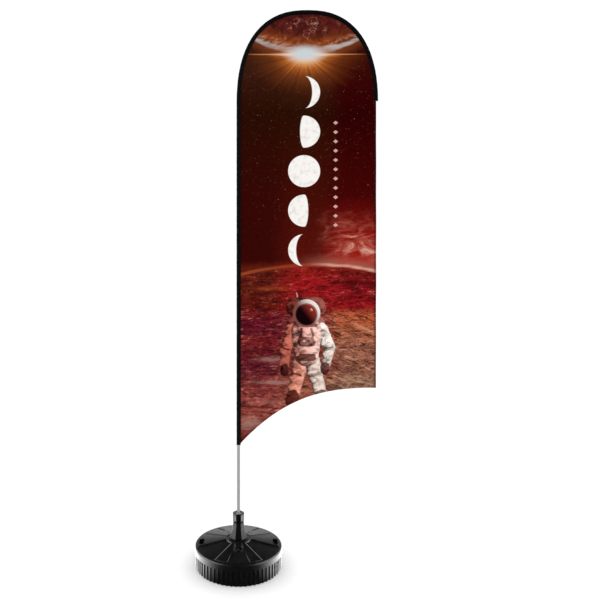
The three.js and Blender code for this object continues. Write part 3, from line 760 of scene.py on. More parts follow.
def cloth_point(graph: Graph) -> Signal:
    """The flat cloth coordinates of a piece, in metres: across, along and 0."""
    flat = Signal(graph, graph.add("UVMap", uv_map=CLOTH_MAP).outputs[0])
    return graph.vector_math("MULTIPLY", flat, (CLOTH_SPAN[0], CLOTH_SPAN[1], 0.0))


# ---------------------------------------------------------------- the flag's print

@dataclass(frozen=True)
class Stage:
    """One row of the print's colours: the height on the flag and the colours at left, middle and right."""

    height: float
    left: str
    middle: str
    right: str


@dataclass(frozen=True)
class FlagPrint(Finish):
    """A printed picture: a red world under a dark sky, a standing figure, and a column of moons.

    All places are in metres on the flat cloth: across from the pole, and height.

    Attributes:
        stages: the background's colours from the hem up.
        upper_world: centre and radius of the world whose edge crosses the top.
        lower_world: the same of the one whose edge lies under the moons.
        sun: where the light stands on the upper world's edge.
        moon_column: across, lowest height, pitch and radius of the moons.
        dot_column: across, lowest height, pitch and half size of the small diamonds.
    """

    stages: tuple[Stage, ...] = (
        Stage(0.60, "2d0505", "3a0c0a", "5a2a20"), Stage(0.69, "8a3a34", "8a4a3a", "8a5a48"),
        Stage(0.78, "9c4a40", "a05a48", "8a5a48"), Stage(0.90, "8c3a38", "a05c48", "98705a"),
        Stage(1.00, "641928", "8c3c30", "965a46"), Stage(1.10, "7c2024", "803432", "af7058"),
        Stage(1.20, "691428", "7c2a2c", "be6440"), Stage(1.262, "6e1423", "8a2a2a", "be5a37"),
        Stage(1.30, "64180f", "8c1616", "96141a"), Stage(1.42, "5f1c10", "aa1a1e", "82121a"),
        Stage(1.50, "5a190f", "8c1c16", "7c1c16"), Stage(1.53, "360604", "541008", "96190f"),
        Stage(1.70, "340604", "4c0e07", "74100a"), Stage(1.86, "340603", "400c05", "400303"),
        Stage(2.28, "280b02", "280d02", "2c0000"), Stage(2.42, "321409", "3c1a0c", "340202"),
        Stage(2.52, "38190e", "5a2e1c", "380905"), Stage(2.80, "30150c", "46190f", "3c1410"),
    )
    upper_world: Triple = (0.3426, 3.1733, 0.589)
    lower_world: Triple = (0.3845, 0.0323, 1.4806)
    sun: Pair = (0.337, 2.578)
    moon_column: tuple[float, float, float, float] = (0.332, 1.588, 0.2, 0.082)
    dot_column: tuple[float, float, float, float] = (0.491, 1.715, 0.047, 0.011)

    def paint(self, graph: Graph, shader: bpy.types.Node) -> None:
        """Lays the print's parts over each other and weaves the cloth under them."""
        point = cloth_point(graph)
        across, height, _ = graph.split(point)
        color = self.background(graph, point, across, height)
        color = self.stars(graph, color, point, height)
        color = self.lower_limb(graph, color, point, across)
        color = self.land(graph, color, point, across, height)
        color = self.upper_limb(graph, color, point, across)
        color = self.sunlight(graph, color, across, height)
        color = self.moons(graph, color, point, across, height)
        color = self.dots(graph, color, across, height)
        color = SuitedFigure().draw(graph, color, point)
        color = self.edge_shade(graph, color, across)
        weave = Weave()
        values = {"Across": across, "Along": height, "Pitch": 0.0009, "Slant": 0.5}
        shade = graph.use(weave, "Shade", **values)
        # painted shade between the threads and a faint painted highlight on their tops
        color = graph.mix(0.35, color, graph.vector(shade, shade, shade), "MULTIPLY")
        fade = graph.noise(point, 3.0, 3.0)
        self.cover(graph, shader, color,
                   graph.line(fade, 0.3, 0.7, self.roughness * 0.9, self.roughness))
        shader.inputs["Specular IOR Level"].default_value = 0.01
        self.bump(graph, shader, graph.use(weave, "Height", **values), 0.0001, 0.25)

    def streaks(self, graph: Graph, point: Signal, stretch: Pair, lean: float = 0.0,
                twist: float = 0.6) -> Signal:
        """Noise drawn out along a direction.

        Args:
            graph: the material's graph.
            point: the place on the cloth.
            stretch: how many changes there are to a metre, across and up.
            lean: how far the streaks rise to a metre across.
            twist: how much they swirl.

        Returns:
            Numbers from 0 to 1.
        """
        across, height, _ = graph.split(point)
        where = graph.vector(across * stretch[0], (height - across * lean) * stretch[1])
        return graph.noise(where, 1.0, 6.0, 0.6, twist)

    def background(self, graph: Graph, point: Signal, across: Signal, height: Signal) -> Signal:
        """Three colour ramps over the height, mixed across, with their rows wavering a little."""
        low, high = self.stages[0].height, self.stages[-1].height
        waver = graph.noise(point, 7.0, 4.0) - 0.5
        share = graph.line(height + waver * 0.05, low, high)
        ramps = [graph.ramp(share,
                            [((s.height - low) / (high - low), ink(getattr(s, side))) for s in self.stages])
                 for side in ("left", "middle", "right")]
        color = graph.mix(graph.step(across + waver * 0.08, 0.14, 0.32), ramps[0], ramps[1])
        color = graph.mix(graph.step(across + waver * 0.1, 0.38, 0.56), color, ramps[2])
        fine = graph.noise(point, 60.0, 5.0, 0.7)
        speckle = graph.ramp(fine, [(0.25, (0.6, 0.6, 0.6, 1)), (0.75, (1.4, 1.4, 1.4, 1))])
        return graph.mix(0.8, color, speckle, "MULTIPLY")

    def stars(self, graph: Graph, color: Signal, point: Signal, height: Signal) -> Signal:
        """Sparse pale points over the sky, of several sizes."""
        sky = graph.step(height, 1.6, 1.9)
        for scale, size, share in ((120.0, 0.14, 0.52), (70.0, 0.11, 0.54), (30.0, 0.075, 0.5)):
            spots = graph.fade(graph.cells(point, scale), size * 0.5, size)
            chosen = graph.step(graph.noise(point, scale * 0.35, 1.0), share, share + 0.05)
            color = graph.lay(color, "c8a898", spots * chosen * sky * 0.45)
        return color

    def distance(self, graph: Graph, point: Signal, world: Triple) -> Signal:
        """How far a point lies outside a round world."""
        return graph.vector_math("DISTANCE", point, (world[0], world[1], 0.0)) - world[2]

    def lower_limb(self, graph: Graph, color: Signal, point: Signal, across: Signal) -> Signal:
        """The lower world's edge: clouds over it at the right, and a thin haze along it."""
        away = self.distance(graph, point, self.lower_world)
        _, height, _ = graph.split(point)
        streaks = self.streaks(graph, point, (5.0, 26.0), 0.1, 1.4)
        right = graph.step(across, 0.36, 0.62)
        bank = graph.step(away, 0.02, 0.07) * graph.fade(away, 0.16, 0.3) * right
        puffs = graph.noise(graph.vector(across, height * 1.8), 11.0, 7.0, 0.6, 0.9)
        for code, share in (("be5a4b", bank * graph.step(streaks, 0.42, 0.7) * 0.5),
                            ("be6454", bank * graph.step(puffs, 0.42, 0.66) * 0.8),
                            ("d8a898", bank * graph.step(puffs, 0.55, 0.7)
                             * graph.step(away, 0.03, 0.1) * 0.75)):
            color = graph.lay(color, code, share)
        waver = (streaks - 0.5) * 0.02
        haze = graph.near(away + waver * 0.5, 0.002, 0.013)
        color = graph.lay(color, "a04c28", haze * graph.line(across, 0.0, 0.4, 0.75, 0.3))
        glow = graph.fade(away + waver, 0.0, 0.07) * graph.step(away, -0.006, 0.002)
        color = graph.lay(color, "b4685a", glow * graph.step(across, 0.26, 0.5) * 0.6)
        band = graph.near(away + waver - 0.003, 0.001, 0.012)
        return graph.lay(color, "d7a591",
                         band * graph.step(across, 0.34, 0.5) * graph.step(streaks, 0.25, 0.5, 0.3, 0.8))

    def land(self, graph: Graph, color: Signal, point: Signal, across: Signal, height: Signal) -> Signal:
        """The lower world's land: lit ridges, streaks and dust, slanting at the right."""
        below = self.distance(graph, point, self.lower_world)
        inside = graph.fade(below, -0.02, -0.005)
        long = self.streaks(graph, point, (4.0, 34.0))
        short = self.streaks(graph, point, (16.0, 60.0), 0.12)
        slant = self.streaks(graph, point, (9.0, 52.0), -0.42, 1.2)
        left = graph.fade(across, 0.26, 0.44)
        right = graph.step(across, 0.36, 0.5)
        ground = graph.fade(height, 1.24, 1.3)
        for code, share in (("a83824", inside * graph.step(long, 0.58, 0.7) * left * 0.7),
                            ("aa5a32", inside * graph.step(short, 0.6, 0.74) * left * 0.6),
                            ("340810", ground * graph.fade(long, 0.32, 0.45) * left * 0.8),
                            ("c49a7c", ground * right * graph.step(slant, 0.52, 0.68) * 0.8),
                            ("421810", ground * right * graph.fade(slant, 0.34, 0.47) * 0.85)):
            color = graph.lay(color, code, share)
        rough = self.streaks(graph, point, (30.0, 110.0), 0.05, 1.0)
        color = graph.lay(color, "c89682",
                          ground * graph.step(rough, 0.56, 0.68) * graph.step(short, 0.42, 0.56) * 0.55)
        color = graph.lay(color, "24050a", inside * graph.fade(rough, 0.36, 0.5) * 0.8)
        clumps = graph.noise(graph.vector(across, height * 2.6), 13.0, 8.0, 0.72, 0.5)
        color = graph.lay(color, "2e080a", inside * graph.fade(clumps, 0.4, 0.54) * 0.6)
        color = graph.lay(color, "d89480",
                          inside * graph.step(clumps, 0.56, 0.68) * graph.step(rough, 0.45, 0.6) * 0.6)
        arc = self.distance(graph, point, (0.56, 0.55, 0.877)) + (short - 0.5) * 0.01
        crest = graph.near(arc, 0.003, 0.016) * graph.step(across, 0.42, 0.5)
        color = graph.lay(color, "4a0608", crest * 0.8)
        for spot, size, code in (((0.165, 1.035), (0.07, 0.014), "c8968c"),
                                 ((0.19, 0.92), (0.10, 0.010), "c8a098"),
                                  ((0.10, 1.075), (0.09, 0.012), "380a10"),
                                 ((0.15, 0.985), (0.07, 0.013), "3a0c14"),
                                  ((0.175, 0.82), (0.09, 0.010), "b47868"),
                                 ((0.155, 1.395), (0.09, 0.010), "b4502a"),
                                  ((0.05, 0.715), (0.05, 0.03), "c8a898")):
            offset = graph.vector_math("SUBTRACT", point, (*spot, 0.0))
            offset = graph.vector_math("DIVIDE", offset, (*size, 1.0))
            away = graph.length(offset) + (short - 0.5) * 3.2 + (rough - 0.5) * 3.0
            color = graph.lay(color, code, graph.fade(away, 0.0, 1.6) * 0.36)
        grains = graph.fade(graph.cells(point, 130.0), 0.08, 0.24) * graph.step(short, 0.46, 0.62)
        return graph.lay(color, "d08878", grains * inside * graph.step(height, 1.2, 1.3, 0.25, 0.6))

    def upper_limb(self, graph: Graph, color: Signal, point: Signal, across: Signal) -> Signal:
        """The upper world: a crusted dark surface that glows towards its edge, and pale clouds on it."""
        away = self.distance(graph, point, self.upper_world)
        inside = graph.fade(away, -0.004, 0.004)
        swirl = self.streaks(graph, point, (9.0, 30.0), 0.25, 2.2)
        mottle = graph.noise(point, 26.0, 6.0, 0.7, 0.8)
        surface = graph.ramp(mottle, [(0.3, ink("2a0c0e")), (0.5, ink("501a16")), (0.72, ink("742c20"))])
        bent = graph.vector_math("ADD", point, graph.vector((mottle - 0.5) * 0.05, (swirl - 0.5) * 0.05))
        crust = graph.cells(bent, 42.0, "DISTANCE_TO_EDGE")
        middle = graph.near(across - 0.3, 0.08, 0.2)
        patch = graph.step(graph.noise(point, 12.0, 2.0, 0.5), 0.44, 0.56)
        veins = graph.fade(crust, 0.0, 0.05) * graph.step(mottle, 0.45, 0.6) * patch
        surface = graph.lay(surface, "dcb49c", veins * graph.line(middle, 0.0, 1.0, 0.12, 0.6))
        glow = graph.step(away, -0.11, -0.01) * graph.step(abs(across - 0.32), 0.08, 0.3, 1.0, 0.35)
        surface = graph.lay(surface, "b45a1e", glow * graph.step(swirl, 0.3, 0.7, 0.35, 1.0) * 0.9)
        surface = graph.lay(surface, "c8ac96",
                            graph.step(away, -0.06, -0.02) * graph.step(swirl, 0.46, 0.62) * 0.6)
        color = graph.mix(inside, color, surface)
        fringe = graph.fade(away, 0.0, 0.05) * graph.step(away, -0.01, 0.0)
        color = graph.lay(color, "7e3c1c", fringe * 0.65)
        width = graph.line(abs(across - 0.34), 0.03, 0.3, 0.024, 0.009)
        wisps = graph.step(self.streaks(graph, point, (5.0, 60.0), 0.0, 0.9), 0.3, 0.6, 0.4, 1.0)
        cloud = graph.fade(abs(away + 0.010 + (swirl - 0.5) * 0.02) / width, 0.3, 1.15)
        color = graph.lay(color, "b4b4b2", cloud * wisps * 0.85)
        lens = graph.vector_math("SUBTRACT", point, (0.475, 2.613, 0.0))
        lens = graph.vector_math("DIVIDE", lens, (0.055, 0.015, 1.0))
        return graph.lay(color, "b9b4b0", graph.fade(graph.length(lens) + (swirl - 0.5), 0.5, 1.1) * 0.85)

    def sunlight(self, graph: Graph, color: Signal, across: Signal, height: Signal) -> Signal:
        """A bright core on the edge, a rayed halo under it, and a flat flare."""
        side = abs(across - self.sun[0])
        down = self.sun[1] - height
        angle = graph.math("ARCTAN2", across - self.sun[0], down)
        spread = graph.noise(graph.vector(angle * 7.0, 0.0), 1.0, 4.0, 0.7)
        oval = graph.length(graph.vector(side / 0.30, graph.math("MAXIMUM", down / 0.2, down / -0.065)))
        oval = oval + (spread - 0.5) * graph.step(oval, 0.1, 0.5) * 0.9
        for code, share in (("8c4418", graph.step(oval, 0.05, 1.1, 0.75, 0.0)),
                            ("d2762a", graph.step(oval, 0.05, 0.62, 0.95, 0.0)),
                            ("f0c490", graph.step(oval, 0.05, 0.4, 0.9, 0.0))):
            color = graph.lay(color, code, share)
        thin = graph.near(down, 0.0, 0.005)
        color = graph.lay(color, "e09a58", thin * graph.step(side, 0.18, 0.34, 0.75, 0.0))
        broad = graph.near(down, 0.001, 0.011)
        color = graph.lay(color, "f6e0c0", broad * graph.step(side, 0.05, 0.2, 0.7, 0.0))
        core = graph.length(graph.vector(side / 0.115, (down + 0.004) / 0.05))
        return graph.lay(color, "c8d0d4", graph.fade(core + (spread - 0.5) * 0.3, 0.2, 1.15))

    def moons(self, graph: Graph, color: Signal, point: Signal, across: Signal, height: Signal) -> Signal:
        """Five discs from crescent to full and back. Each lit side ends on half an ellipse."""
        middle, lowest, pitch, radius = self.moon_column
        mottle = graph.noise(point, 34.0, 4.0, 0.6)
        pale = graph.mix(graph.step(mottle, 0.45, 0.7) * 0.35, ink("f6f2ee"), ink("b8aca4"))
        phases = ((0.5, -1.0), (-0.25, -1.0), (-1.2, 1.0), (-0.25, 1.0), (0.5, 1.0))
        for index, (edge, side) in enumerate(phases):
            u = (across - middle) / radius
            v = (height - (lowest + index * pitch)) / radius
            disc = graph.fade(graph.length(graph.vector(u, v)), 0.975, 1.0)
            half = graph.math("SQRT", graph.math("SUBTRACT", 1.0, v * v, clamp=True))
            lit = graph.step(u * side - half * edge, -0.03, 0.03)
            color = graph.mix(disc * lit, color, pale)
        return color

    def dots(self, graph: Graph, color: Signal, across: Signal, height: Signal) -> Signal:
        """A column of twelve small diamonds: the repeated height plus the distance across."""
        middle, lowest, pitch, size = self.dot_column
        step = graph.math("PINGPONG", height - lowest, pitch / 2)
        across_away = abs(across - middle)
        diamond = graph.fade(step + across_away * 0.8, size * 0.8, size)
        above = graph.step(height, lowest - 0.6 * pitch, lowest - 0.4 * pitch)
        column = above * graph.fade(height, lowest + 11.4 * pitch, lowest + 11.6 * pitch)
        return graph.lay(color, "dcb0a8", diamond * column * 0.85)

    def edge_shade(self, graph: Graph, color: Signal, across: Signal) -> Signal:
        """The ink is darker on the doubled cloth of the free edge; painted shade of the sleeve darkens the
        cloth beside it.
        """
        edge = graph.step(across, 0.682, 0.686)
        color = graph.lay(color, "240606", edge * 0.45)
        # painted shade: the sleeve's shadow on the cloth next to it, laid in as dark ink
        return graph.lay(color, "120404", graph.step(across, 0.006, 0.018, 0.45, 0.0))


@dataclass(frozen=True)
class SuitedFigure:
    """A generic standing figure in a padded suit, drawn from tapered limbs. Its visor is plain.

    Attributes:
        limbs: each limb's two ends on the cloth, its width at each, and its colour.
        head: the helmet's middle and radius.
        visor_frame: the same of the frame round the visor.
        visor: the visor's middle and radius.
        glint: the same of the bright spot on it.
    """

    limbs: tuple[tuple[Pair, Pair, float, float, str], ...] = (
        ((0.300, 1.322), (0.296, 1.372), 0.004, 0.003, "b4a49c"),
        ((0.292, 1.300), (0.392, 1.300), 0.052, 0.052, "6a3a34"),
        ((0.292, 1.215), (0.392, 1.215), 0.048, 0.048, "744440"),
        ((0.315, 1.030), (0.276, 0.850), 0.040, 0.030, "c49484"),
        ((0.372, 1.030), (0.418, 0.850), 0.040, 0.030, "a4948c"),
        ((0.276, 0.850), (0.262, 0.822), 0.032, 0.026, "4a1e18"),
        ((0.418, 0.850), (0.434, 0.822), 0.032, 0.026, "5c4038"),
        ((0.272, 1.185), (0.238, 1.085), 0.034, 0.029, "b07468"),
        ((0.238, 1.085), (0.232, 0.995), 0.028, 0.023, "a0665a"),
        ((0.232, 0.990), (0.234, 0.972), 0.023, 0.020, "301416"),
        ((0.418, 1.190), (0.462, 1.095), 0.034, 0.029, "b4a8a2"),
        ((0.462, 1.095), (0.440, 1.005), 0.028, 0.023, "a4968e"),
        ((0.438, 0.998), (0.434, 0.980), 0.023, 0.020, "401a1a"),
        ((0.344, 1.175), (0.344, 1.065), 0.078, 0.064, "b49088"),
        ((0.312, 1.046), (0.376, 1.046), 0.018, 0.018, "4c2420"),
        ((0.322, 1.125), (0.366, 1.125), 0.024, 0.024, "74504a"),
        ((0.330, 1.128), (0.331, 1.128), 0.007, 0.007, "b89c94"),
        ((0.352, 1.130), (0.358, 1.130), 0.005, 0.005, "2c1010"),
        ((0.318, 1.190), (0.306, 1.120), 0.006, 0.006, "4c2420"),
        ((0.370, 1.190), (0.382, 1.120), 0.006, 0.006, "6c4a44"),
        ((0.316, 1.092), (0.300, 1.060), 0.005, 0.005, "b08a80"),
        ((0.276, 0.968), (0.314, 0.955), 0.006, 0.006, "5c2a22"),
        ((0.372, 0.955), (0.410, 0.968), 0.006, 0.006, "7c6c64"),
        ((0.226, 1.096), (0.252, 1.086), 0.005, 0.005, "541f18"),
        ((0.446, 1.086), (0.474, 1.098), 0.005, 0.005, "7c6e68"),
        ((0.300, 1.208), (0.388, 1.208), 0.008, 0.008, "7a5650"),
    )
    head: Triple = (0.344, 1.270, 0.070)
    visor_frame: Triple = (0.344, 1.264, 0.056)
    visor: Triple = (0.343, 1.263, 0.050)
    glint: Triple = (0.366, 1.285, 0.009)

    def draw(self, graph: Graph, color: Signal, point: Signal) -> Signal:
        """Lays the limbs, the helmet and the visor over the picture.

        Args:
            graph: the material's graph.
            color: the picture so far.
            point: the place on the cloth.

        Returns:
            The picture with the figure.
        """
        folds = graph.noise(graph.vector_math("MULTIPLY", point, (1.0, 1.7, 1.0)), 24.0, 5.0, 0.6, 0.5)
        bent = graph.vector_math("ADD", point, graph.vector((folds - 0.5) * 0.026, (folds - 0.5) * 0.010))
        side = graph.split(point)[0] + (folds - 0.5) * 0.12
        tint = graph.mix(graph.step(side, 0.27, 0.42), (0.80, 0.52, 0.46, 1.0), (1.30, 1.34, 1.32, 1.0))
        for start, end, thick, thin, code in self.limbs:
            values = {"Point": bent, "From": (*start, 0.0), "To": (*end, 0.0), "Thick": thick, "Thin": thin}
            outside = graph.use(LimbShape(), "Outside", **values)
            light = graph.use(LimbShape(), "Light", **values)
            shade = graph.line(light + (folds - 0.5) * 2.6, 0.1, 0.9, 0.12, 1.9)
            lit = graph.vector_math("MULTIPLY", tint, graph.vector(shade, shade, shade))
            tone = graph.mix(1.0, ink(code), lit, "MULTIPLY")
            color = graph.mix(graph.step(outside, -0.002, 0.002, 0.93, 0.0), color, tone)
        discs = ((self.head, "7a4640", "ece4de"), (self.visor_frame, "2a0c0c", "9a6258"),
                 (self.visor, "120406", "8a2c24"), (self.glint, "8a3a30", "f0ccbc"))
        for (x, y, radius), dark, bright in discs:
            away = graph.vector_math("SUBTRACT", point, (x, y, 0.0))
            light = graph.vector_math("DOT_PRODUCT", away, (0.7 / radius, 0.55 / radius, 0.0))
            tone = graph.mix(graph.step(light, -0.2, 0.9), ink(dark), ink(bright))
            color = graph.mix(graph.fade(graph.length(away), radius - 0.002, radius + 0.001), color, tone)
        return color


# ---------------------------------------------------------------- the base

class Body(Enum):
    """The moving bodies of the frame."""

    TANK = "tank"
    CAP = "cap"
    ROTOR = "rotor"
    NUT = "nut"
    MAST = "mast"


@dataclass
class Finishes:
    """Every finish of the banner, by the record's material slot."""

    black: Finish = MouldedPlastic("Black polyethylene", "0a0a0a", 0.3)
    nut: Finish = MouldedPlastic("Black nut plastic", "080808", 0.26, shine=0.35)
    bush: Finish = PlainPlastic("Bush plastic", "d9d6cc", 0.5)
    collet: Finish = PlainPlastic("Collet plastic", "d4d4d0", 0.4)
    rubber: Finish = Rubber("Gasket rubber", "101010", 0.85)
    steel: Finish = DrawnMetal("Zinc-plated steel", "9a9da0", 0.35, 0.2)
    aluminium: Finish = DrawnMetal("Anodised aluminium", "a4a5a6", 0.55, 0.1, 0.08)
    ring: Finish = PlainPlastic("Ring plastic", "b9b7b2", 0.45)
    glass: Finish = GlassFibre("Glass fibre", "20211c", 0.5)
    sleeve: Finish = WovenBand("Black sleeve cloth", "060506", 0.9)
    webbing: Finish = WovenBand("Black webbing", "080708", 0.95, 0.0016, 1.0)
    flag: Finish = FlagPrint("Printed flag cloth", "5a1714", 0.82)
    black_thread: Finish = SewingThread("Black thread", "1a181a", 0.7)
    red_thread: Finish = SewingThread("Dark red thread", "4a1512", 0.7)

    def by_slot(self) -> dict[str, Finish]:
        """The finish that each of the record's slots takes."""
        return {"black_plastic": self.black, "nut_plastic": self.nut, "bush_plastic": self.bush,
                "collet_plastic": self.collet, "gasket_rubber": self.rubber, "steel": self.steel,
                "pole_aluminium": self.aluminium, "ring_plastic": self.ring, "glass_fibre": self.glass,
                "sleeve_cloth": self.sleeve, "flag_cloth": self.flag}


@dataclass
class Tank:
    """The round tank: a ribbed lower shell and an upper shell with bars, two grips and a fill port.

    Attributes:
        radius: of the smooth band.
        skirt_height: of the lower shell.
        groove_radius: at the bottom of the skirt's grooves.
        rib_depth: how far the skirt's ribs stand out.
        rib_count: the number of those ribs.
        rim_radius: the edge of the deck cone.
        rim_height: its height there.
        plateau_radius: the flat middle's edge.
        plateau_height: and its height.
        cone_top: the cone's height at the plateau.
        bars: their angles from the front, in degrees, on each side.
        sector: half the angle of the raised front and back sectors, in degrees.
        sector_rise: how far those sectors stand over the cone.
        bar_rise: how far the bars do.
        bar_half: half their width at the top and at the foot.
        grip_floor: height of the grip pockets' floor.
        port_floor: how deep the port can be seen.
        grip: distance of the grips' middle and their angle from the front.
        grip_half: half the grip's width and length, and its corner's radius.
        port: distance of the port, its seat's radius, its hole's radius and the seat's height.
    """

    finishes: Finishes
    radius: float = 0.220
    skirt_height: float = 0.0717
    groove_radius: float = 0.212
    rib_depth: float = 0.005
    rib_count: int = 60
    rim_radius: float = 0.208
    rim_height: float = 0.107
    plateau_radius: float = 0.063
    plateau_height: float = 0.134
    cone_top: float = 0.131
    bars: tuple[float, ...] = (15.5, 33.0, 78.5, 125.0, 152.0, 167.0)
    sector: float = 33.0
    sector_rise: float = 0.0026
    bar_rise: float = 0.0046
    bar_half: Pair = (0.0018, 0.0034)
    grip_floor: float = 0.0615
    port_floor: float = 0.100
    grip: Pair = (0.187, 93.0)
    grip_half: Triple = (0.015, 0.030, 0.011)
    port: tuple[float, float, float, float] = (0.105, 0.0245, 0.0187, 0.121)

    def build(self) -> None:
        """Makes the two shells."""
        black = self.finishes.black
        place(make_piece("lower_shell", [self.lower()], 50), Body.TANK, black,
              ("tank_bottom",))
        grids = [self.upper(), self.port_rim(), *(self.grip_lip(side) for side in (1, -1))]
        place(make_piece("upper_shell", grids, 46), Body.TANK, black, ("tank_top",))

    def lower(self) -> Grid:
        """The cup. Its outside is the groove's radius plus a rounded rib once every pitch."""
        angles = turns(self.rib_count * 14)
        pitch = 2 * math.pi / self.rib_count
        off = np.abs((angles / pitch) % 1 - 0.5)
        rib = 1 - smooth(off, 0.125, 0.225)
        wall, top = self.groove_radius, self.skirt_height
        rows = [(0.0, 0.0, 0), (0.1, 0.0, 0), (0.2060, 0.0, 0.0), (0.2090, 0.0003, 0.55),
                (0.2110, 0.0012, 0.9),
                (0.2118, 0.0026, 1), (wall, 0.005, 1)]
        rows += [(wall, z, 1) for z in np.linspace(0.012, 0.066, 7)]
        rows += [(wall, 0.0700, 1), (0.2117, 0.0710, 0.95), (0.2110, top, 0.6), (0.2098, top, 0.0),
                 (0.2092, 0.0712, 0), (0.209, 0.070, 0), (0.209, 0.0060, 0), (0.2080, 0.0036, 0),
                 (0.2055, 0.003, 0),
                 (0.1, 0.003, 0), (0.0, 0.003, 0)]
        table = np.array(rows)
        radius = table[:, 0, None] + self.rib_depth * table[:, 2, None] * rib
        return Grid(around(radius, angles[None], table[:, 1, None]))

    def deck(self, radius: Array, angle: Array) -> Array:
        """Height of the deck at a distance and an angle, without the grips and the port.

        A cone, under the plateau, the sectors and the bars: the highest of them counts.
        """
        slope = (self.cone_top - self.rim_height) / (self.rim_radius - self.plateau_radius)
        cone = self.rim_height + slope * (self.rim_radius - radius)
        front = np.minimum(np.abs(angle), np.pi - np.abs(angle))
        outside = radius * (front - math.radians(self.sector))
        inner = 1 - smooth(radius, 0.2055, 0.2075)
        height = cone + self.sector_rise * (1 - smooth(outside, -0.0008, 0.0004)) * inner
        for bar in self.bars:
            for side in (1, -1):
                off = angle - side * math.radians(bar)
                across = radius * np.abs(np.sin(off))
                long = smooth(radius, 0.0600,
                              0.0655) * (1 - smooth(radius, 0.2035, 0.2078)) * (np.cos(off) > 0)
                height = np.maximum(height,
                                    cone + self.bar_rise * (1 - smooth(across, *self.bar_half)) * long)
        plateau = 1 - smooth(radius, self.plateau_radius - 0.0012, self.plateau_radius + 0.0008)
        groove = 0.0008 * (1 - smooth(np.abs(radius - 0.0535), 0.0006, 0.0016))
        return height + (self.plateau_height - groove - height) * plateau

    def grip_offset(self, radius: Array, angle: Array, side: int) -> Array:
        """Signed distance from a grip's outline, less than 0 inside."""
        away = angle - side * math.radians(self.grip[1])
        width, length, corner = self.grip_half
        across = np.abs(radius * np.cos(away) - self.grip[0]) - (width - corner)
        along = np.abs(radius * np.sin(away)) - (length - corner)
        outside = np.hypot(np.maximum(across, 0), np.maximum(along, 0))
        return outside + np.minimum(np.maximum(across, along), 0) - corner

    def surface(self, radius: Array, angle: Array) -> Array:
        """Height of the upper shell with its grips and port."""
        height = self.deck(radius, angle)
        for side in (1, -1):
            depth = 1 - smooth(self.grip_offset(radius, angle, side), -0.0016, 0.0002)
            height = height + (self.grip_floor - height) * depth
        distance, seat, hole, level = self.port
        away = np.hypot(radius * np.sin(angle), radius * np.cos(angle) - distance)
        height = height + (level - height) * (1 - smooth(away, seat - 0.0004, seat + 0.0012))
        return height + (self.port_floor - height) * (1 - smooth(away, hole - 0.0008, hole + 0.0006))

    def column_angles(self, radius: Array) -> Array:
        """The deck's column angles at each distance. Beside a bar they keep their distance to it.

        Args:
            radius: the rows' distances.

        Returns:
            Rows x columns of angles from the front.
        """
        offsets = np.array([-5, -3.5, -2.9, -2.4, -1.8, -0.9, 0.9, 1.8, 2.4, 2.9, 3.5, 5]) * 1e-3
        bend = np.arcsin(offsets[None] / np.maximum(radius, 0.062)[:, None])
        middles = np.radians(sorted([*self.bars, *(-b for b in self.bars)]))
        parts = []
        for index, middle in enumerate(middles):
            following = middles[(index + 1) % len(middles)] + (2 * np.pi if index + 1 == len(middles) else 0)
            parts.append(middle + bend)
            start, end = middle + bend[:, -1:], following + bend[:, :1]
            degrees = math.degrees(following - middle)
            centre = (math.degrees(following + middle) / 2 + 180) % 360 - 180
            fine = abs(centre) < 1 or 78.5 < abs(centre) < 125
            count = round(degrees / (0.42 if fine else 1.25))
            parts.append(start + (end - start) * (np.arange(1, count) / count)[None])
        return np.concatenate(parts, 1)

    def upper(self) -> Grid:
        """The upper shell: the deck's heights on a polar grid, then shoulder, band and a closed underside."""
        rows = np.concatenate([[0.0196, 0.0202, 0.030, 0.042, 0.0515, 0.0525, 0.0535, 0.0545, 0.0555, 0.0600,
                                0.0618, 0.0624, 0.0630, 0.0636, 0.0645, 0.0660],
                               np.arange(0.0675, 0.2030, 0.0015),
                               [0.2035, 0.2045, 0.2055, 0.2062, 0.2069, 0.2078, 0.2090]])
        angle = self.column_angles(rows)
        deck = around(rows[:, None], angle,
                      self.surface(rows[:, None], (angle + np.pi) % (2 * np.pi) - np.pi))
        turn = np.linspace(0, np.pi / 2, 10)
        shoulder = np.stack([0.2090 + 0.0110 * np.sin(turn), 0.0960 + 0.0110 * np.cos(turn)], -1)
        side = rounded([(self.radius, 0.094), (self.radius, 0.0723), (0.2069, 0.0723), (0.2069, 0.056),
                        (0.0196, 0.056), (0.0196, 0.130)], [0, 0.0012, 0.0008, 0.001, 0.001, 0])
        side = np.concatenate([shoulder, side[:1], np.linspace((0.22, 0.089), (0.22, 0.076), 3), side[1:]])
        skirt = around(side[1:, 0, None], self.column_angles(side[1:, 0]), side[1:, 1, None])
        return Grid(np.concatenate([deck, skirt]), wrap_rows=True)

    def grip_lip(self, side: int) -> Grid:
        """The rounded moulded lip round a grip pocket: a small profile carried along its outline."""
        width, length, corner = self.grip_half
        bend = np.linspace(0, np.pi / 2, 9)
        normals = np.stack([np.cos(bend), np.sin(bend)], -1)
        quarter = normals * corner + (width - corner, length - corner)
        outline, normal = self.resampled(four_quarters(quarter), four_quarters(normals))
        profile = rounded([(-0.0022, -0.010), (-0.0022, 0.0014), (0.0026, 0.0016), (0.0034, -0.0020),
                           (0.0008, -0.010)],
                          [0.0004, 0.0018, 0.0012, 0.0008, 0.0004], closed=True)
        place_xy = outline[None] + normal[None] * profile[:, 0, None, None]
        turn = side * math.radians(self.grip[1])
        out, along = self.grip[0] + place_xy[..., 0], place_xy[..., 1]
        radius, angle = np.hypot(out, along), turn + np.arctan2(along, out)
        edge = self.grip[0] + outline[:, 0], outline[:, 1]
        base = self.deck(np.hypot(*edge), turn + np.arctan2(edge[1], edge[0]))
        return Grid(around(radius, angle, np.minimum(base, 0.1125)[None] + profile[:, 1, None]),
                    wrap_rows=True)

